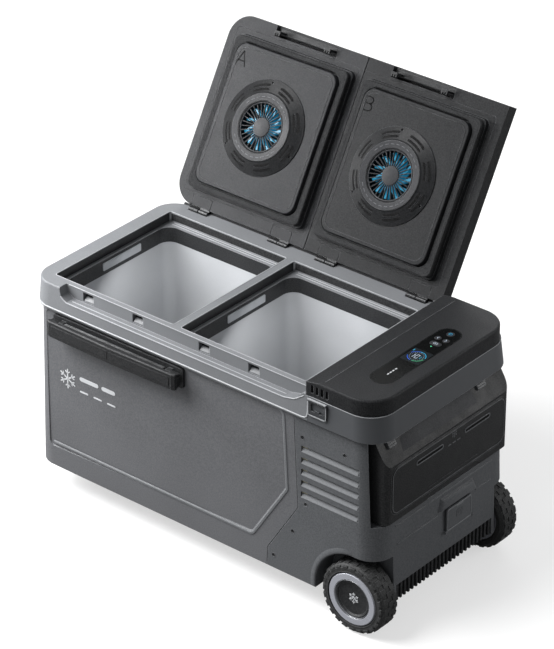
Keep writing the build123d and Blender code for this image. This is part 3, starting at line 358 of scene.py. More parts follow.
# ============================ mesh building ============================
class Shells:
    """Collects closed shells, then becomes one object."""

    def __init__(self):
        self.points, self.faces = [], []

    def loft(self, loops, closed=False):
        """Join loops of equal length in order; closed joins the last one to the first."""
        size, base, count = len(loops[0]), len(self.points), len(loops)
        for loop in loops:
            self.points.extend(loop)
        for j in range(count if closed else count - 1):
            near, far = base + j * size, base + ((j + 1) % count) * size
            for i in range(size):
                k = (i + 1) % size
                self.faces.append((near + i, near + k, far + k, far + i))
        if not closed:
            self.faces.append(tuple(base + i for i in reversed(range(size))))
            self.faces.append(tuple(base + (count - 1) * size + i for i in range(size)))
        return self

    def bar(self, section, x0, x1, side=1):
        """A (y, z) section run along X; side -1 mirrors it to the front."""
        return self.loft([[Vector((x, side * y, z)) for y, z in section] for x in (x0, x1)])

    def plate(self, plane, outline, low, high, inset=0.0):
        """Outline raised from low to high; inset draws the outer face in."""
        mid_x = sum(x for x, y in outline) / len(outline)
        mid_y = sum(y for x, y in outline) / len(outline)
        half_x = max(max(abs(x - mid_x) for x, y in outline), 1e-6)
        half_y = max(max(abs(y - mid_y) for x, y in outline), 1e-6)
        outer = [(mid_x + (x - mid_x) * (1 - inset / half_x),
                  mid_y + (y - mid_y) * (1 - inset / half_y)) for x, y in outline]
        return self.loft([plane.lift(outline, low), plane.lift(outer, high)])

    def ring(self, plane, outer, inner, low, high):
        return self.loft([plane.lift(outer, low), plane.lift(outer, high),
                          plane.lift(inner, high), plane.lift(inner, low)], closed=True)

    def lathe(self, plane, x, y, profile, steps=72):
        """Closed profile of (radius, height) turned about the plane's normal at x, y."""
        return self.loft([plane.lift(circle(x, y, radius, steps), height)
                          for radius, height in profile], closed=True)

    def stroke(self, plane, path, width, low, high):
        """Round-ended line along path."""
        for (x0, y0), (x1, y1) in zip(path, path[1:]):
            if math.hypot(x1 - x0, y1 - y0) < 1e-6:
                continue
            turn = math.degrees(math.atan2(y1 - y0, x1 - x0))
            outline = (arc(x1, y1, width / 2, turn - 90, turn + 90, 4)
                       + arc(x0, y0, width / 2, turn + 90, turn + 270, 4))
            self.plate(plane, outline, low, high)
        return self

    def tube(self, path, radius, closed=False, steps=10):
        path = [Vector(point) for point in path]
        loops, count, side = [], len(path), None
        for i, point in enumerate(path):
            last, following = path[i - 1], path[(i + 1) % count]
            if not closed and i == 0:
                along = following - point
            elif not closed and i == count - 1:
                along = point - last
            else:
                along = (following - point).normalized() + (point - last).normalized()
            along.normalize()
            if side is None:
                side = along.orthogonal().normalized()
            side = (side - along * side.dot(along)).normalized()
            other = along.cross(side)
            angles = [2 * math.pi * j / steps for j in range(steps)]
            loops.append([point + side * radius * math.cos(angle)
                          + other * radius * math.sin(angle) for angle in angles])
        return self.loft(loops, closed=closed)

    def frost_star(self, plane, x, y, reach, width, low, high):
        """Plain six-arm frost star."""
        for i in range(6):
            turn = 60 * i + 30
            self.stroke(plane, [(x, y), polar(x, y, reach, turn)], width, low, high)
            fork = polar(x, y, 0.58 * reach, turn)
            for spread in (-50, 50):
                self.stroke(plane, [fork, polar(*fork, 0.32 * reach, turn + spread)],
                            width * 0.8, low, high)
        return self

    def make(self, name, body, slot, material=None, bevel=0.0, segments=2, smooth=35):
        """Object riding on body; its material is the slot's unless one is given."""
        mesh = bpy.data.meshes.new(name)
        mesh.from_pydata([tuple(point * 0.001) for point in self.points], [], self.faces)
        cleaner = bmesh.new()
        cleaner.from_mesh(mesh)
        bmesh.ops.remove_doubles(cleaner, verts=cleaner.verts, dist=1e-7)
        bmesh.ops.dissolve_degenerate(cleaner, edges=cleaner.edges, dist=1e-7)
        bmesh.ops.recalc_face_normals(cleaner, faces=cleaner.faces)
        cleaner.to_mesh(mesh)
        cleaner.free()
        piece = bpy.data.objects.new(name, mesh)
        bpy.context.scene.collection.objects.link(piece)
        mesh.materials.append(MATERIALS[material or slot])
        if bevel:
            modifier = piece.modifiers.new("bevel", "BEVEL")
            modifier.width = bevel * 0.001
            modifier.segments = segments
            modifier.limit_method = "ANGLE"
            modifier.angle_limit = math.radians(32)
            modifier.harden_normals = False
        mesh.polygons.foreach_set("use_smooth", [True] * len(mesh.polygons))
        bpy.context.view_layer.update()
        mesh.set_sharp_from_angle(angle=math.radians(smooth))
        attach(piece, body)


# ============================ shared places ============================
SIDES = {"front": -1, "rear": 1}
TOP = Plane((0, 0, 0), (1, 0, 0), (0, 1, 0))
TUBS = {"a": (-397.7, -91.6), "b": (-72.3, 235.0)}    # x span of each tub's recess

# The long faces lean outward going down from the rim's foot.
FACE_Y, FACE_TOP_Z = 206.2, 425
FACE_SLOPE = (208.5 - FACE_Y) / 365.0
FACES = {name: Plane((0, side * FACE_Y, FACE_TOP_Z), (-side, 0, 0), (0, -side * FACE_SLOPE, 1))
         for name, side in SIDES.items()}


def face_y(z):
    """Distance of the long faces from the middle at height z."""
    return FACE_Y + (FACE_TOP_Z - z) * FACE_SLOPE


def end_x(z):
    """The +X end face at height z."""
    return 424 + (FACE_TOP_Z - z) * 13 / 365


# ============================ front and rear panels ============================
# Panel corners on the front face: x, height above the face's top.
PANEL = [(-400, -320), (129.6, -305.7), (213, -173.5), (203, -7), (-400, -7)]
PANEL_BEAD = [(7.6, -0.2), (6.2, 1.3), (2.2, 1.5), (0.4, 0.2), (0.4, -1.2), (7.6, -1.2)]
PANEL_STEPS = 8
BEAD_END_X = -388
EMBLEM_X = {"front": -347, "rear": 232}
# Bars beside the star: start from the first bar, height on the face, length, thickness.
EMBLEM_BARS = [(0, -137, 50, 9), (58, -137, 36, 9),
               (0, -166, 22, 3.6), (36, -166, 22, 3.6), (72, -166, 22, 3.6)]


def panel_bead(name, plane):
    """Raised bead round the panel's three +X corners, its ends run straight towards -X; it is
    painted pale as a highlight.
    """
    corners = PANEL if name == "front" else [(-x, z) for x, z in reversed(PANEL)]
    outlines = [rounded_polygon(corners, [12] * 5, grow, PANEL_STEPS) for grow, _ in PANEL_BEAD]
    per_corner = PANEL_STEPS + 1
    sections = [[plane.at(*outline[i], height)
                 for outline, (_, height) in zip(outlines, PANEL_BEAD)]
                for i in range(per_corner, 4 * per_corner)]
    ends = []
    for section in (sections[0], sections[-1]):
        shift = Vector((BEAD_END_X - section[0].x, 0, 0))
        ends.append([point + shift for point in section])
    Shells().loft([ends[0]] + sections + [ends[1]]).make(
        "panel_bead_" + name, "cabinet", "casing_grey", "louvre_blade")


def emblem(name, plane):
    """Frost star with two rows of bars, on the panel's sunken floor."""
    floor = Plane(plane.origin - plane.out * 2.6, plane.across, plane.up)
    x = EMBLEM_X[name]
    mark = Shells().frost_star(floor, x, -149, 21, 3.0, -0.3, 0.4)
    for start, y, length, width in EMBLEM_BARS:
        mark.plate(floor, round_rect(x + 32 + start + length / 2, y, length, width, width / 2),
                   -0.3, 0.4)
    mark.make("emblem_" + name, "cabinet", "rim_grey", "silver_print", bevel=0.12)


for name, plane in FACES.items():
    panel_bead(name, plane)
    emblem(name, plane)

# ============================ rim ============================
RIM_HEIGHT, RIM_DRAW = 56, 2.9    # the rim's sides draw in by RIM_DRAW over its height
RIM_STEPS = 10
RIM_CORNER = RIM_STEPS + 1        # points in each corner
LOWER_BEAD_Z, SEAM_Z = 428.8, 477.3


def rim_outline(z, grow):
    """Outline at height z; its corners start at -X front and go counter-clockwise."""
    share = (z - FACE_TOP_Z) / RIM_HEIGHT
    x0, x1 = -437 + 3 * share, 432 - 6.5 * share
    half = 212.5 - RIM_DRAW * share
    outline = rounded_polygon(rectangle(x0, x1, -half, half), [50, 54, 54, 50], grow, RIM_STEPS)
    return [Vector((x, y, z)) for x, y in outline]


# Bead round the -X end that turns up the rim at both +X ends, painted pale as a highlight line.
outline = rim_outline(LOWER_BEAD_Z, -0.3)
run = outline[3 * RIM_CORNER:] + outline[:RIM_CORNER]
BEAD_RISE = [(256, 0), (263, 1.5), (267, 5.5), (268.6, 12), (268.9, 45)]    # x, rise
front_end, rear_end = [
    [Vector((x, side * (abs(run[0].y) - RIM_DRAW * rise / RIM_HEIGHT), LOWER_BEAD_Z + rise))
     for x, rise in BEAD_RISE] for side in (-1, 1)]
Shells().tube(rear_end[::-1] + run + front_end, 1.7).make(
    "rim_lower_bead", "cabinet", "rim_grey", "rim_edge")

# Pale line along the seam round the console end: a painted highlight.
run = rim_outline(SEAM_Z, -0.4)[RIM_CORNER:3 * RIM_CORNER]
run = [Vector((271, run[0].y, SEAM_Z))] + run + [Vector((271, run[-1].y, SEAM_Z))]
Shells().tube(run, 0.9).make("console_seam_line", "cabinet", "cover_grey", "seam_edge")

# Pale lines along the front of the rim, painted as highlights on its edges: tube radius, then
# its path of x, y, z.
RIM_FRONT_LINES = [
    (1.15, [(-353, -210.4, 463), (-346, -210.6, 457.5), (-338, -210.9, 453.7),
            (-330, -210.9, 453.5), (205, -210.9, 453.5), (212, -210.9, 453.8),
            (236, -210.6, 458.9), (258, -209.9, 474)]),
    (0.9, [(-350, -188.2, 480.2), (-346, -188.2, 480.8), (255, -188.2, 480.8),
           (259, -188.2, 480.2)]),
    (0.8, [(-332, -199.5, 453.6), (-330, -199.5, 453.9), (206, -199.5, 453.9),
           (208, -199.5, 453.6)]),
]
lines = Shells()
for radius, path in RIM_FRONT_LINES:
    lines.tube(path, radius)
lines.make("rim_front_lines", "cabinet", "rim_grey", "rim_edge")

# Recess edges: a bead round each opening and lines on the rear ledge, painted pale as
# highlights, and dark strips on the -X and front walls, which are painted shade.
RECESS_Y, RECESS_DEPTH = -5.75, 339.5
beads, lines, shade_strips = Shells(), Shells(), Shells()
for x0, x1 in TUBS.values():
    x, width = middle_and_width(x0, x1)
    beads.ring(TOP, round_rect(x, RECESS_Y, width + 3.0, RECESS_DEPTH + 3.0, 6.5),
               round_rect(x, RECESS_Y, width + 0.2, RECESS_DEPTH + 0.2, 5.1), 480.6, 481.5)
    for y in (152.6, 159.4):
        lines.tube([(x0 + 14, y, 461.0), (x0 + 18, y, 461.3),
                    (x1 - 18, y, 461.3), (x1 - 14, y, 461.0)], 0.8)
    shade_strips.plate(TOP, rectangle(x0 - 0.4, x0 + 0.5, -171, 160), 461.5, 479.6)
    shade_strips.plate(TOP, rectangle(x0 + 5, x1 - 5, -175.9, -175.0), 461.5, 479.6)
beads.make("recess_edge_beads", "cabinet", "rim_grey", "rim_edge", bevel=0.25)
lines.make("recess_ledge_lines", "cabinet", "rim_grey", "rim_edge")
shade_strips.make("recess_side_seals", "cabinet", "collar_dark", bevel=0.2)

# Flexible flap closing the gap under the raised lids.
Shells().bar([(205.8, 480.6), (209.4, 478.2), (210.0, 484.4), (208.6, 484.9), (206.6, 482.4)],
             -398, 238).make("hinge_flap", "cabinet", "rubber_black", bevel=0.3)

# Collars round the screws in both long faces: x, z.
SCREWS = [(252.3, 379.2), (353.0, 379.7), (261.6, 235.1), (230.8, 162.4), (184.3, 88.8)]
collars = Shells()
for side in SIDES.values():
    for x, z in SCREWS:
        collars.ring(facing(side, side * face_y(z)), circle(-side * x, z, 5.2, 24),
                     circle(-side * x, z, 4.0, 24), -0.2, 0.25)
collars.make("screw_collars", "cabinet", "cover_grey", bevel=0.1)

# ============================ wheels ============================
AXLE_X, AXLE_Z, WHEEL_FACE_Y = 380, 75, 214
# Closed profiles of radius, height from the wheel's outer face.
DISC = [(39.3, -3.2), (38.6, -1.6), (36.5, -1.4), (34.0, -4.4), (24, -6.0), (9, -6.5),
        (0.01, -6.5), (0.01, -6.8), (30, -6.9), (38.5, -6.4)]
FACE_RING = [(54.2, 0.0), (53.6, 0.7), (42.6, 0.7), (41.8, 0.0), (42.0, -0.6), (54.0, -0.6)]
TRIM_RING = [(41.6, 0.0), (41.3, 0.5), (40.7, 0.5), (39.9, -1.4), (40.2, -2.2), (41.4, -1.6)]
TREAD = [(71.0, -4.5), (73.5, -7.5), (73.5, -42.5), (71.0, -45.5), (69, -45.5), (69, -4.5)]
TYRE_BEAD = [(59.6, -0.6), (59.3, 0.5), (57.9, 0.6), (57.4, -0.8), (58.6, -2.2)]
LUG = [(64, -4.2), (70.2, -5.4), (70.2, 5.4), (64, 4.2)]    # radius, degrees
LUG_COUNT = 24


def wheel(body, side):
    plane = facing(side, side * WHEEL_FACE_Y)
    x = -side * AXLE_X

    def turned(part, slot, profile):
        Shells().lathe(plane, x, AXLE_Z, profile).make(body + part, body, slot)

    turned("_disc", "black_plastic", DISC)
    turned("_face_ring", "hub_grey", FACE_RING)
    turned("_trim_ring", "steel", TRIM_RING)
    Shells().frost_star(plane, x, AXLE_Z, 11, 2.2, -6.6, -5.7).make(
        body + "_mark", body, "rim_grey", "silver_print", bevel=0.1)
    lugs = Shells()
    for i in range(LUG_COUNT):
        outline = [polar(x, AXLE_Z, radius, 360 // LUG_COUNT * i + turn) for radius, turn in LUG]
        lugs.plate(plane, outline, -4.0, 0.5, inset=0.3)
    lugs.lathe(plane, x, AXLE_Z, TREAD, steps=96)
    lugs.make(body + "_side_lugs", body, "tyre_black", bevel=0.5)
    turned("_bead", "tyre_black", TYRE_BEAD)


for name, side in SIDES.items():
    wheel("wheel_" + name, side)

# Flares over the wheel arches: radius from the axle, height. They swell over six steps.
FLARE = [(92.1, 0.0), (92.6, 1.6), (95, 2.3), (99, 1.6), (104, 0.3), (106, -0.6), (93, -1.5)]
for name, plane in FACES.items():
    mirror = -SIDES[name]
    loops = []
    for i in range(31):
        angle = math.radians(91 + 96 * i / 30)
        swell = min(1.0, i / 6.0)
        loops.append([plane.at(mirror * (AXLE_X + radius * math.cos(angle)),
                               AXLE_Z - FACE_TOP_Z + radius * math.sin(angle),
                               height * swell - 0.2) for radius, height in FLARE])
    Shells().loft(loops).make("arch_flare_" + name, "cabinet", "cover_grey", smooth=60)

# ============================ louvres ============================
LOUVRE_TOPS = (361.0, 335.6, 310.5, 285.4, 260.5)
# Sections of outward distance from the face, height from the louvre's top.
LOUVRE_BLADE = [(-6.5, -5.2), (-5.4, -4.2), (0.7, -13.0), (0.2, -14.2), (-1.0, -14.2)]
LOUVRE_SHADOW = [(-8.6, 0.4), (-7.8, 0.4), (-7.8, -8), (-8.6, -8)]
# The blades are painted paler than the cover, painted light on their upturned faces; the dark
# plates behind them are painted shade.
blades, shadows = Shells(), Shells()
for top in LOUVRE_TOPS:
    for side in SIDES.values():
        for shells, section, x0, x1 in ((blades, LOUVRE_BLADE, 251.0, 384.5),
                                        (shadows, LOUVRE_SHADOW, 250.4, 386.4)):
            shells.bar([(face_y(top) + y, top + z) for y, z in section], x0, x1, side)
blades.make("louvre_blades", "cabinet", "cover_grey", "louvre_blade", bevel=0.3)
shadows.make("louvre_shadow_plates", "cabinet", "black_plastic", "shadow_inlay")

# ============================ battery pack ============================
PACK_X, PACK_Y, PACK_Z = 434, 6.75, 311
PACK_SLOTS = ((-94, -16), (55, 130))    # y spans
SLOT_Z = 342


def pack_outline(width, height, radius, grow=0.0):
    return round_rect(PACK_Y, PACK_Z, width + 2 * grow, height + 2 * grow, radius + grow, 8)


def pack_border(shells, plane, size, profile):
    """Border of a pack outline; size is width, height, radius and profile is (grow, height)."""
    shells.loft([plane.lift(pack_outline(*size, grow), height) for grow, height in profile],
                closed=True)


plane = end_plane(PACK_X)
plate = Shells().plate(plane, pack_outline(352, 104, 20), -0.4, 1.6, inset=2.4)
pack_border(plate, plane, (352, 104, 20), ((2.2, -0.3), (1.8, 0.9), (0.6, 0.9), (0.2, -0.3)))
plate.make("pack_face_plate", "battery", "black_plastic", bevel=0.4)

plane = end_plane(PACK_X + 1.5)
# The frames round the slots are painted pale as highlights; the dark plates in them are painted
# shade.
frames, shadows = Shells(), Shells()
for span in PACK_SLOTS:
    y, width = middle_and_width(*span)
    frames.ring(plane, round_rect(y, SLOT_Z, width + 5, 11, 5),
                round_rect(y, SLOT_Z, width, 6.4, 3), -0.4, 0.9)
    shadows.plate(plane, round_rect(y, SLOT_Z, width - 0.4, 6.0, 3), -0.6, 0.15)
frames.make("pack_slot_frames", "battery", "black_plastic", "pack_line", bevel=0.35)
shadows.make("pack_slot_shadows", "battery", "black_plastic", "shadow_inlay")

mark = Shells().frost_star(plane, 20, 352, 8, 1.5, -0.3, 0.35)
for i in range(3):
    mark.plate(plane, round_rect(6 + 14 * i, 334, 10, 2.2, 1.1), -0.3, 0.35)
mark.make("pack_mark", "battery", "black_plastic", "pack_line", bevel=0.08)

slope = Plane((PACK_X, 0, 369), (0, 1, 0), (-30, 0, 49))
# The top slope's relief is painted lighter than the pack, painted light on a face turned up.
Shells().plate(slope, [(-128, 12), (104, 12), (96, 50), (-118, 50)], -0.4, 0.6, inset=3.0).make(
    "pack_top_relief", "battery", "black_plastic", "pack_slope", bevel=0.3)

# Pale ring round the pack's face, painted as a highlight on its edge.
border = Shells()
pack_border(border, end_plane(435.7), (345, 97, 17),
            ((0.7, -0.4), (0.6, 0.35), (-0.6, 0.35), (-0.7, -0.4)))
border.make("pack_outline", "battery", "black_plastic", "pack_line")

# Hood over the inlet: x of each section, then its y, z corners.
INLET_HOOD = [
    (431.0, [(-23, 193.5), (99, 193.5), (88, 220.5), (-13, 220.5)]),
    (437.2, [(-18, 196), (94, 196), (85, 215), (-9, 215)]),
    (439.4, [(-14, 198), (90, 198), (82, 209), (-5, 209)]),
]
Shells().loft([[Vector((x, y, z)) for y, z in section] for x, section in INLET_HOOD]).make(
    "inlet_hood", "cabinet", "cover_grey", bevel=0.8, segments=3)

# Bottle opener: bar above, thin sill below and a frame round it.
opener = Shells()
opener.plate(TOP, rectangle(271.5, 314.5, -216.4, -211.8), 472.6, 476.2)
opener.plate(TOP, rectangle(272, 314, -215.3, -214.5), 441.2, 443.0)
opener.ring(facing(-1, -214.6), round_rect(293, 457.4, 43.2, 34.4, 5),
            round_rect(293, 457.4, 39.8, 31.0, 4), -0.3, 0.7)
opener.make("opener_lip", "cabinet", "dark_steel", "opener_bar", bevel=0.3)

clips = Shells()
for span in ((-161, -135), (111, 141)):
    y, width = middle_and_width(*span)
    clips.plate(slope, round_rect(y, 42, width, 22, 3), -0.4, 4.6, inset=1.8)
    for i in range(3):
        clips.plate(slope, round_rect(y, 36.5 + 5 * i, width - 8, 1.8, 0.8), 4.2, 5.4)
clips.make("pack_clips", "battery", "black_plastic", "opener_grey", bevel=0.4)

Shells().plate(plane, round_rect(20, 271, 150, 1.6, 0.8), -0.3, 0.5).make(
    "pack_lower_ribs", "battery", "black_plastic", bevel=0.25)

# ============================ +X end face and inlet flap ============================
# Creases across the end face: z, half-thickness, y spans.
END_CREASES = [(229, 3.0, [(-150, 150)]), (188, 2.4, [(-146, -22), (98, 146)])]
for z, half, spans in END_CREASES:
    section = [(end_x(z - half) - 0.4, z - half), (end_x(z) + 1.5, z - half * 0.2),
               (end_x(z) + 1.6, z + half * 0.3), (end_x(z + half) - 0.4, z + half)]
    crease = Shells()
    for span in spans:
        crease.loft([[Vector((x, y, height)) for x, height in section] for y in span])
    crease.make("end_crease_%d" % z, "cabinet", "cover_grey", bevel=0.3)

FLAP_Y = 39
plane = end_plane(439.0)
icon = Shells().ring(plane, round_rect(FLAP_Y, 170, 18, 16, 3),
                     round_rect(FLAP_Y, 170, 15, 13, 2), -0.3, 0.35)
for y in (FLAP_Y - 3, FLAP_Y + 3):
    icon.plate(plane, round_rect(y, 171, 2.0, 6, 0.8), -0.3, 0.35)
icon.make("flap_socket_icon", "inlet_flap", "cover_grey", "tone_mark", bevel=0.08)
# The lip round the flap is painted pale as a highlight.
lip = Shells().ring(plane, round_rect(FLAP_Y, 167, 76, 48, 5),
                    round_rect(FLAP_Y, 167, 72, 44, 4), -0.4, 0.7)
lip.plate(plane, round_rect(FLAP_Y, 188.4, 22, 4.4, 2), -0.4, 1.4)
lip.make("flap_lip", "inlet_flap", "cover_grey", "louvre_blade", bevel=0.3)

# ============================ carry grips ============================
# Sections of distance from the middle, z. The end lugs are cut away round the pivot pins.
GRIP_CORE = [(225.2, 379.5), (213.2, 382.5), (212.6, 405.5), (214.0, 408.5), (225.2, 410.5)]
GRIP_LUG = [(225.2, 379.5), (213.2, 382.5), (212.8, 401.0), (221.0, 401.0), (221.0, 407.0),
            (213.6, 407.0), (214.0, 408.5), (225.2, 410.5)]
# The pads meet at the grip's middle, where it stands furthest out: x, distance at each end.
GRIP_PADS = [((-360, 233.9), (-210, 236.4)), ((-204, 236.4), (-54, 233.9))]
PAD_PROFILE = [(384, -0.4), (385.5, 0.7), (404, 0.7), (405.5, -0.4)]    # z, rise


def grip(name, side):
    body = "grip_" + name
    core, pads, beads = Shells(), Shells(), Shells()
    core.bar(GRIP_CORE, -337, -78, side)
    for x0, x1 in ((-372, -354), (-60.5, -42)):
        core.bar(GRIP_LUG, x0, x1, side)
    for y in (216.2, 220.2):
        z = 408.9 + (y - 214) * 0.18
        core.tube([(-336, side * y, z), (-79, side * y, z)], 0.8)
    core.make(body + "_core", body, "black_plastic", bevel=0.6)
    for ends in GRIP_PADS:
        pads.loft([[Vector((x, side * (y + rise), z)) for z, rise in PAD_PROFILE]
                   for x, y in ends])
    pads.make(body + "_pads", body, "rubber_black", bevel=0.4)
    for x in (-364.6, -49.4):
        beads.plate(TOP, round_rect(x, side * 231.3, 1.2, 5.2, 0.4), 378.5, 411)
    beads.make(body + "_end_beads", body, "black_plastic", bevel=0.3)


for name, side in SIDES.items():
    grip(name, side)

# ============================ tow handle ============================
ribs = Shells()
for i in range(15):
    ribs.plate(end_plane(-452), round_rect(-42 + 6 * i, 91, 2.6, 17, 1.2), -1.2, 0.3)
ribs.make("tow_grip_ribs", "tow_handle", "rubber_black", bevel=0.4)
Shells().ring(Plane((-441.5, 0, 0), (0, -1, 0), (0, 0, 1)), round_rect(0, 90.5, 259, 43, 8),
              round_rect(0, 90.5, 251, 36, 5), -1.0, 0.9).make(
    "tow_bezel", "cabinet", "black_plastic", bevel=0.4)

# ============================ latch pockets in the rim ============================
# The ramps below the pockets are painted pale, painted light on their upturned faces.
RAMP = [(-187.7, 457.3), (-179.2, 457.3), (-179.2, 466.0), (-181.4, 465.6), (-187.7, 459.6)]
liners, teeth, ramps = Shells(), Shells(), Shells()
for x in (-300, -171.5, -3.5, 119.5):
    liners.plate(facing(-1, -178.6), round_rect(x, 466.8, 26.4, 18.8, 1.5), -0.4, 0.8)
    ramps.bar(RAMP, x - 10.8, x + 12.6)
    for shift in (-8.6, 0, 8.6):
        teeth.plate(facing(-1, -179.4), round_rect(x + shift, 471.3, 5.4, 6.6, 0.8), 0, 1.3)
liners.make("latch_pocket_liners", "cabinet", "collar_dark")
teeth.make("latch_pocket_teeth", "cabinet", "black_plastic", "shadow_inlay", bevel=0.3)
ramps.make("latch_pocket_ramps", "cabinet", "rim_grey", "louvre_blade", bevel=0.3)

# ============================ tubs ============================
DRAIN = [(11, 111.8), (11, 113.2), (9.8, 114.0), (7.2, 114.0), (7.0, 113.0), (0.01, 113.0),
         (0.01, 111.8)]    # radius, z
# A dark strip runs along each recess's back wall.
strips, lips, plugs = Shells(), Shells(), Shells()
for span in TUBS.values():
    x, width = middle_and_width(*span)
    strips.plate(facing(-1, 163.9), round_rect(x, 471, width - 6, 15, 2), -0.5, 0.7)
    mouth_width = width - 18
    y, depth = middle_and_width(-166.5, 145.0)
    lips.ring(TOP, round_rect(x, y, mouth_width + 5.2, depth + 5.2, 28.6, 8),
              round_rect(x, y, mouth_width - 0.6, depth - 0.6, 25.7, 8), 460.6, 461.9)
    plugs.lathe(TOP, x + 60, -95, DRAIN)
    plugs.plate(TOP, round_rect(x + 60, -95, 12, 2.6, 1.2), 112.8, 114.4)
strips.make("recess_seal_strips", "cabinet", "rubber_black", bevel=0.3)
# The lips round the tub mouths are painted pale as a highlight on the ledge.
lips.make("collar_lips", "cabinet", "rim_grey", "louvre_blade", bevel=0.4)
plugs.make("drain_plugs", "cabinet", "rubber_black", bevel=0.2)

# ============================ console ============================
GLASS_Z = 512.12                   # face the display marks stand on
SCREEN_X, SCREEN_Y = 369.5, -16.0
CAPSULE_X, CAPSULE_Y = 368, -14.75
Shells().ring(TOP, round_rect(CAPSULE_X, CAPSULE_Y, 52.4, 247.9, 26.1, 12),
              round_rect(CAPSULE_X, CAPSULE_Y, 48.9, 244.4, 24.4, 12), 511.7, 512.3).make(
    "capsule_bezel", "cabinet", "gloss_black", bevel=0.2)
Shells().plate(TOP, round_rect(SCREEN_X, SCREEN_Y, 43, 49, 3), GLASS_Z - 0.1,
               GLASS_Z + 0.04).make("screen_window", "cabinet", "screen")

# Lit arcs of the dial: start and end degrees, steps.
DIAL_ARCS = {"blue": [(200, 262, 14), (100, 160, 14)], "cyan": [(10, 98, 18)],
             "green": [(275, 350, 16)]}
for colour, spans in DIAL_ARCS.items():
    arcs = Shells()
    for span in spans:
        arcs.stroke(TOP, arc(SCREEN_X, SCREEN_Y, 17.5, *span), 1.3, GLASS_Z, GLASS_Z + 0.14)
    arcs.make("screen_arc_" + colour, "cabinet", "screen", "lit_" + colour)

# Bars of a seven-bar numeral, each from one (across, up) point to another.
NUMERAL_BARS = {"a": ((-1, 2), (1, 2)), "b": ((1, 2), (1, 0)), "c": ((1, 0), (1, -2)),
                "d": ((-1, -2), (1, -2)), "e": ((-1, 0), (-1, -2)), "f": ((-1, 2), (-1, 0)),
                "g": ((-1, 0), (1, 0))}
NUMERAL_SCALE = 2.5


def numeral(shells, x, y, bars):
    """Numeral read from the +X end: its up runs to -X."""
    for bar in bars:
        path = [(x - up * NUMERAL_SCALE, y + across * NUMERAL_SCALE)
                for across, up in NUMERAL_BARS[bar]]
        shells.stroke(TOP, path, 1.0, GLASS_Z, GLASS_Z + 0.12)


digits = Shells()
for i in range(24):
    tick = [polar(SCREEN_X, SCREEN_Y, radius, 15 * i) for radius in (13.2, 14.6)]
    digits.stroke(TOP, tick, 0.5, GLASS_Z, GLASS_Z + 0.1)
numeral(digits, SCREEN_X - 1.5, SCREEN_Y - 4.2, "abged")
numeral(digits, SCREEN_X - 1.5, SCREEN_Y + 4.2, "afgcd")
digits.make("screen_digits", "cabinet", "screen", "lit_white")

bars = Shells()
for x, y0, y1, width in ((9.0, -4.5, 4.5, 0.8), (-18.5, 14, 19, 1.4)):
    bars.stroke(TOP, [(SCREEN_X + x, SCREEN_Y + y0), (SCREEN_X + x, SCREEN_Y + y1)], width,
                GLASS_Z, GLASS_Z + 0.1)
bars.make("screen_status_bars", "cabinet", "screen", "lit_cyan")
Shells().plate(TOP, circle(368, 30, 1.5, 20), GLASS_Z - 0.1, GLASS_Z + 0.2).make(
    "status_led", "cabinet", "lens", "lit_green")

# Icons on the buttons.
BUTTON_Z = 512.92
ICON = (BUTTON_Z - 0.1, BUTTON_Z + 0.1)    # low and high of every icon
icon = Shells().stroke(TOP, arc(369.5, 88.4, 3.4, 215, 505, 20), 0.9, *ICON)
icon.stroke(TOP, [(365.2, 88.4), (369.0, 88.4)], 0.9, *ICON)
icon.make("power_icon", "button_power", "screen", "lit_cyan")
for name, foot, tip in (("up", 360.6, 357.4), ("down", 376.2, 379.4)):
    Shells().stroke(TOP, [(foot, 60.2), (tip, 63.0), (foot, 65.8)], 0.9, *ICON).make(
        name + "_icon", "button_" + name, "screen", "lit_white")
icon = Shells().ring(TOP, round_rect(368.6, 43, 9, 5.4, 1), round_rect(368.6, 43, 7.6, 4.0, 0.6),
                     *ICON)
icon.stroke(TOP, [(368.6, 41), (368.6, 45)], 0.7, *ICON)
icon.make("zone_icon", "button_zone", "screen", "lit_white")

mark, mesh_bars = Shells(), Shells()
for i in range(4):
    mark.plate(TOP, round_rect(368, -100 + 8 * i, 3.0, 5.6, 1.0), GLASS_Z - 0.1, GLASS_Z + 0.1)
    mesh_bars.plate(facing(-1, -205.8), round_rect(277 + 11.6 * i, 494.5, 5.6, 16.6, 1.1),
                    -1.5, 0.2)
mark.make("console_mark", "cabinet", "rim_grey", "silver_print")
mesh_bars.make("console_vent_mesh", "cabinet", "console_dark", "shadow_inlay")
Shells().plate(TOP, rectangle(297.5, 299.3, -196, 196), 511.6, 512.35).make(
    "console_crease", "cabinet", "console_dark", bevel=0.25)

# ============================ lids ============================
# On the lid planes x runs along the cooler and y from the hinge to the free edge.
LID_ANGLE = math.radians(120.45)
LID_FOOT = (0, 198.9, 482.2)
LID_UP = (0, -math.cos(LID_ANGLE), math.sin(LID_ANGLE))
LID = Plane(LID_FOOT, (1, 0, 0), LID_UP)           # heights grow from the inner face
LID_OUTER = Plane(LID_FOOT, (-1, 0, 0), LID_UP)    # heights grow from the outer skin
FAN_Y = 205.5
# skin, fan x, plug x, hinge xs, middle and width of the outer skin's raised field
LIDS = {
    "a": ("lid_grey", -249.0, -246.0, (-351.5, -143.6), -243.35, 278.7),
    "b": ("lid_dark", 77.0, 81.0, (-21.6, 204.4), 88.0, 276.0),
}
LETTER_Y = 322


def letter_paths(zone):
    """Strokes of the zone's letter."""
    y = LETTER_Y
    if zone == "a":
        x = -354
        return [[(x - 12, y - 15), (x, y + 15), (x + 12, y - 15)],
                [(x - 7.5, y - 5), (x + 7.5, y - 5)]]
    x = -30
    upper = arc(x + 2, y + 7.3, 6.7, 90, -90, 8)
    lower = arc(x + 2.5, y - 6.7, 7.3, 90, -90, 8)
    return [[(x - 9, y - 14), (x - 9, y + 14), (x + 2, y + 14)] + upper + [(x - 9, y + 0.6)],
            [(x + 2, y + 0.6)] + lower + [(x - 9, y - 14)]]


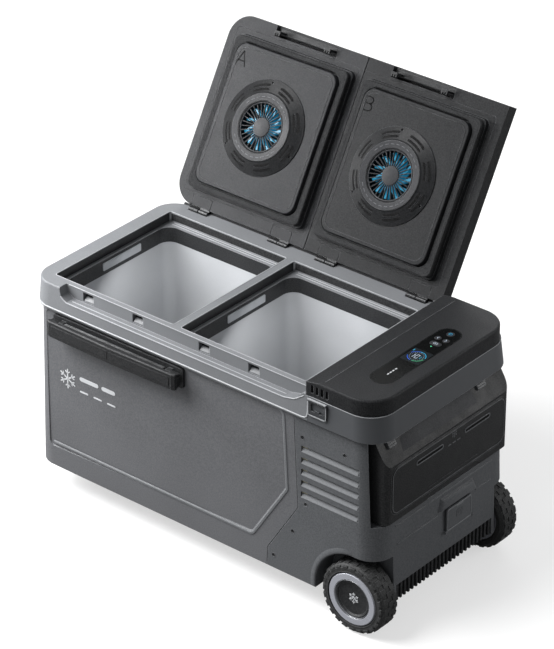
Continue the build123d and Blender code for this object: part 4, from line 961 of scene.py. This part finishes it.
def grille(body, fan_x):
    """Trims of the round grille on the lid's inner face."""
    Shells().lathe(LID, fan_x, FAN_Y, [(98.6, 26.0), (98.4, 27.6), (97.0, 28.3), (95.8, 28.2),
                                       (96.0, 26.0)]).make(
        body + "_grille_foot", body, "console_dark")
    hub = Shells()
    hub.lathe(LID, fan_x, FAN_Y, [(19.2, 33.6), (18.6, 34.9), (12, 35.7), (0.01, 35.9),
                                  (0.01, 33.6)])
    hub.lathe(LID, fan_x, FAN_Y, [(51.4, 34.2), (50.4, 35.6), (48.6, 35.0), (48.8, 33.2),
                                  (50.4, 32.0)])
    hub.make(body + "_grille_hub", body, "console_dark", "grille_face")

    # Two rows of curved slots on the grille's cone, narrower at their ends.
    slots = Shells()
    for i in range(8):
        for middle in (77.6, 86.8):
            loops = []
            for step in range(9):
                turn = 45 * i + 8.5 + 28 * step / 8
                half = 2.6 * (0.55 if step in (0, 8) else 1.0)
                corners = ((middle - half, -0.9), (middle + half, -0.9),
                           (middle + half, 0.16), (middle - half, 0.16))
                loops.append([LID.at(*polar(fan_x, FAN_Y, radius, turn),
                                     28 + (98 - radius) * 7.5 / 26 + rise)
                              for radius, rise in corners])
            slots.loft(loops)
    slots.make(body + "_grille_slots", body, "black_plastic", "shadow_inlay")

    Shells().lathe(LID, fan_x, FAN_Y, [(68.9, 36.9), (68.3, 38.0), (54.6, 37.3), (53.6, 36.0)],
                   steps=96).make(body + "_grille_face", body, "console_dark", "grille_face")
    dashes = Shells()
    for i in range(10):
        for start in (210 + 12 * i, 30 + 12 * i):
            dashes.stroke(LID, arc(fan_x, FAN_Y, 61.5, start, start + 6, 3), 1.5, 36.9, 37.95)
    dashes.make(body + "_grille_dashes", body, "console_dark", "grille_dash")
    screws = Shells()
    for i in range(3):
        screws.lathe(LID, *polar(fan_x, FAN_Y, 92, 97 + 120 * i),
                     [(2.2, 26.2), (2.1, 27.4), (0.01, 27.6), (0.01, 26.2)], steps=20)
    screws.make(body + "_grille_screws", body, "steel", "grille_black")


def lid(zone):
    body = "lid_" + zone
    skin, fan_x, plug_x, hinges, field_x, field_width = LIDS[zone]
    letter = Shells()
    for path in letter_paths(zone):
        letter.stroke(LID, path, 2.6, 25.8, 26.3)
    letter.make(body + "_zone_letter", body, "console_dark", "shadow_inlay")

    Shells().ring(LID, round_rect(plug_x, 206.5, 242, 281, 20, 8),
                  round_rect(plug_x, 206.5, 238.5, 277.5, 18.5, 8), 25.7, 26.45).make(
        body + "_plug_bead", body, skin, bevel=0.25)
    ribs = Shells()
    gasket_width = TUBS[zone][1] - TUBS[zone][0] - 16
    for inset in (6, 13):
        outline = round_rect(plug_x, 205, gasket_width - 2 * inset, 322 - 2 * inset, 13, 6)
        ribs.tube(LID.lift(outline, 18.9), 1.05, closed=True)
    ribs.make(body + "_gasket_ribs", body, "rubber_black")

    grille(body, fan_x)

    # Shallow field and ribs on the outer skin.
    Shells().plate(LID_OUTER, round_rect(-field_x, 208, field_width, 320, 22, 8), 31.6, 33.2,
                   inset=2.0).make(body + "_top_field", body, skin, bevel=0.5)
    ribs = Shells()
    for i in range(5):
        ribs.plate(LID_OUTER, round_rect(-field_x, 330 - 9 * i, 120, 3.0, 1.5), 33.0, 34.0)
    ribs.make(body + "_top_ribs", body, skin, bevel=0.4)

    # Pads over the hinge leaves on the inner face.
    pads = Shells()
    for x in hinges:
        pads.plate(LID, round_rect(x, 19.6, 49.4, 21.5, 2.0), -0.3, 0.4, inset=0.5)
    pads.make(body + "_hinge_pads", body, skin, bevel=0.15)


for zone in LIDS:
    lid(zone)

# ============================ floor, lights, camera (metres) ============================
scene = bpy.context.scene
scene.view_settings.view_transform = "Standard"
scene.view_settings.look = "None"
world = bpy.data.worlds.new("studio")
scene.world = world
world.use_nodes = True
background = world.node_tree.nodes["Background"]
background.inputs["Color"].default_value = (0.97, 0.985, 1.0, 1)
background.inputs["Strength"].default_value = 0.27


def floor_material():
    """Matt floor that glows pale to the camera only, so it adds no light of its own."""
    shader = Shader("floor")
    drift = shader.noise(scale=2.0)
    seen = shader.node("LightPath").outputs["Is Camera Ray"]
    bounced = (0.22, 0.22, 0.22, 1)
    pale = shader.mix(shader.ramp(drift, low=0.3, high=0.7),
                      (0.42, 0.42, 0.42, 1), (0.44, 0.44, 0.44, 1))
    shader.put(shader.surface, {
        "Base Color": shader.mix(seen, bounced, pale), "Roughness": 0.9,
        "Specular IOR Level": 0.0, "Emission Color": (1, 1, 1, 1),
        "Emission Strength": shader.multiply(seen, 0.60)})
    return shader.material


material = floor_material()
mesh = bpy.data.meshes.new("floor")
mesh.from_pydata([(x, y, 0) for x, y in rectangle(-14, 14, -14, 14)], [], [(0, 1, 2, 3)])
floor = bpy.data.objects.new("floor", mesh)
scene.collection.objects.link(floor)
mesh.materials.append(material)


def light(name, place, target, power, size=None, angle=None):
    """Area light of the given size, or a sun of the given angle in radians."""
    data = bpy.data.lights.new(name, "AREA" if size else "SUN")
    data.energy = power
    if size:
        data.shape = "RECTANGLE"
        data.size, data.size_y = size
    else:
        data.angle = angle
    lamp_object = bpy.data.objects.new(name, data)
    scene.collection.objects.link(lamp_object)
    lamp_object.location = place
    lamp_object.rotation_mode = "QUATERNION"
    aim = Vector(target) - Vector(place)
    lamp_object.rotation_quaternion = aim.to_track_quat("-Z", "Y")
    lamp_object.visible_camera = False


light("key", place=(-1.5, -1.45, 3.0), target=(0, 0, 0), power=3.2, angle=0.55)
light("left_fill", place=(-1.35, -0.75, 1.0), target=(-0.38, -0.1, 0.38), power=26,
      size=(0.8, 0.8))
light("lid_sheen", place=(-0.98, -0.38, 1.16), target=(-0.36, 0.36, 0.76), power=5.5,
      size=(0.4, 0.4))
light("right_fill", place=(1.6, 1.2, 0.8), target=(0.44, 0.08, 0.33), power=9, size=(0.8, 0.8))
light("back_edge", place=(-0.9, 2.6, 1.9), target=(0, 0, 0.5), power=26, size=(2.6, 0.8))
for zone, (x0, x1) in TUBS.items():
    light("tub_" + zone, place=((x0 + 140) / 1000, -0.04, 0.44),
          target=((x0 + 150) / 1000, 0.12, 0.20), power=0.34, size=(0.14, 0.10))

toward_camera = Vector((0.5534, -0.6656, 0.5008)).normalized()
camera = bpy.data.objects.new("camera", bpy.data.cameras.new("camera"))
scene.collection.objects.link(camera)
camera.data.sensor_width = 36
camera.data.sensor_fit = "AUTO"
camera.data.lens = 181.85
camera.data.clip_start = 0.1
camera.data.clip_end = 60
camera.location = (3.5158, -4.2052, 3.6077)
camera.rotation_mode = "QUATERNION"
camera.rotation_quaternion = (-toward_camera).to_track_quat("-Z", "Y")
scene.camera = camera
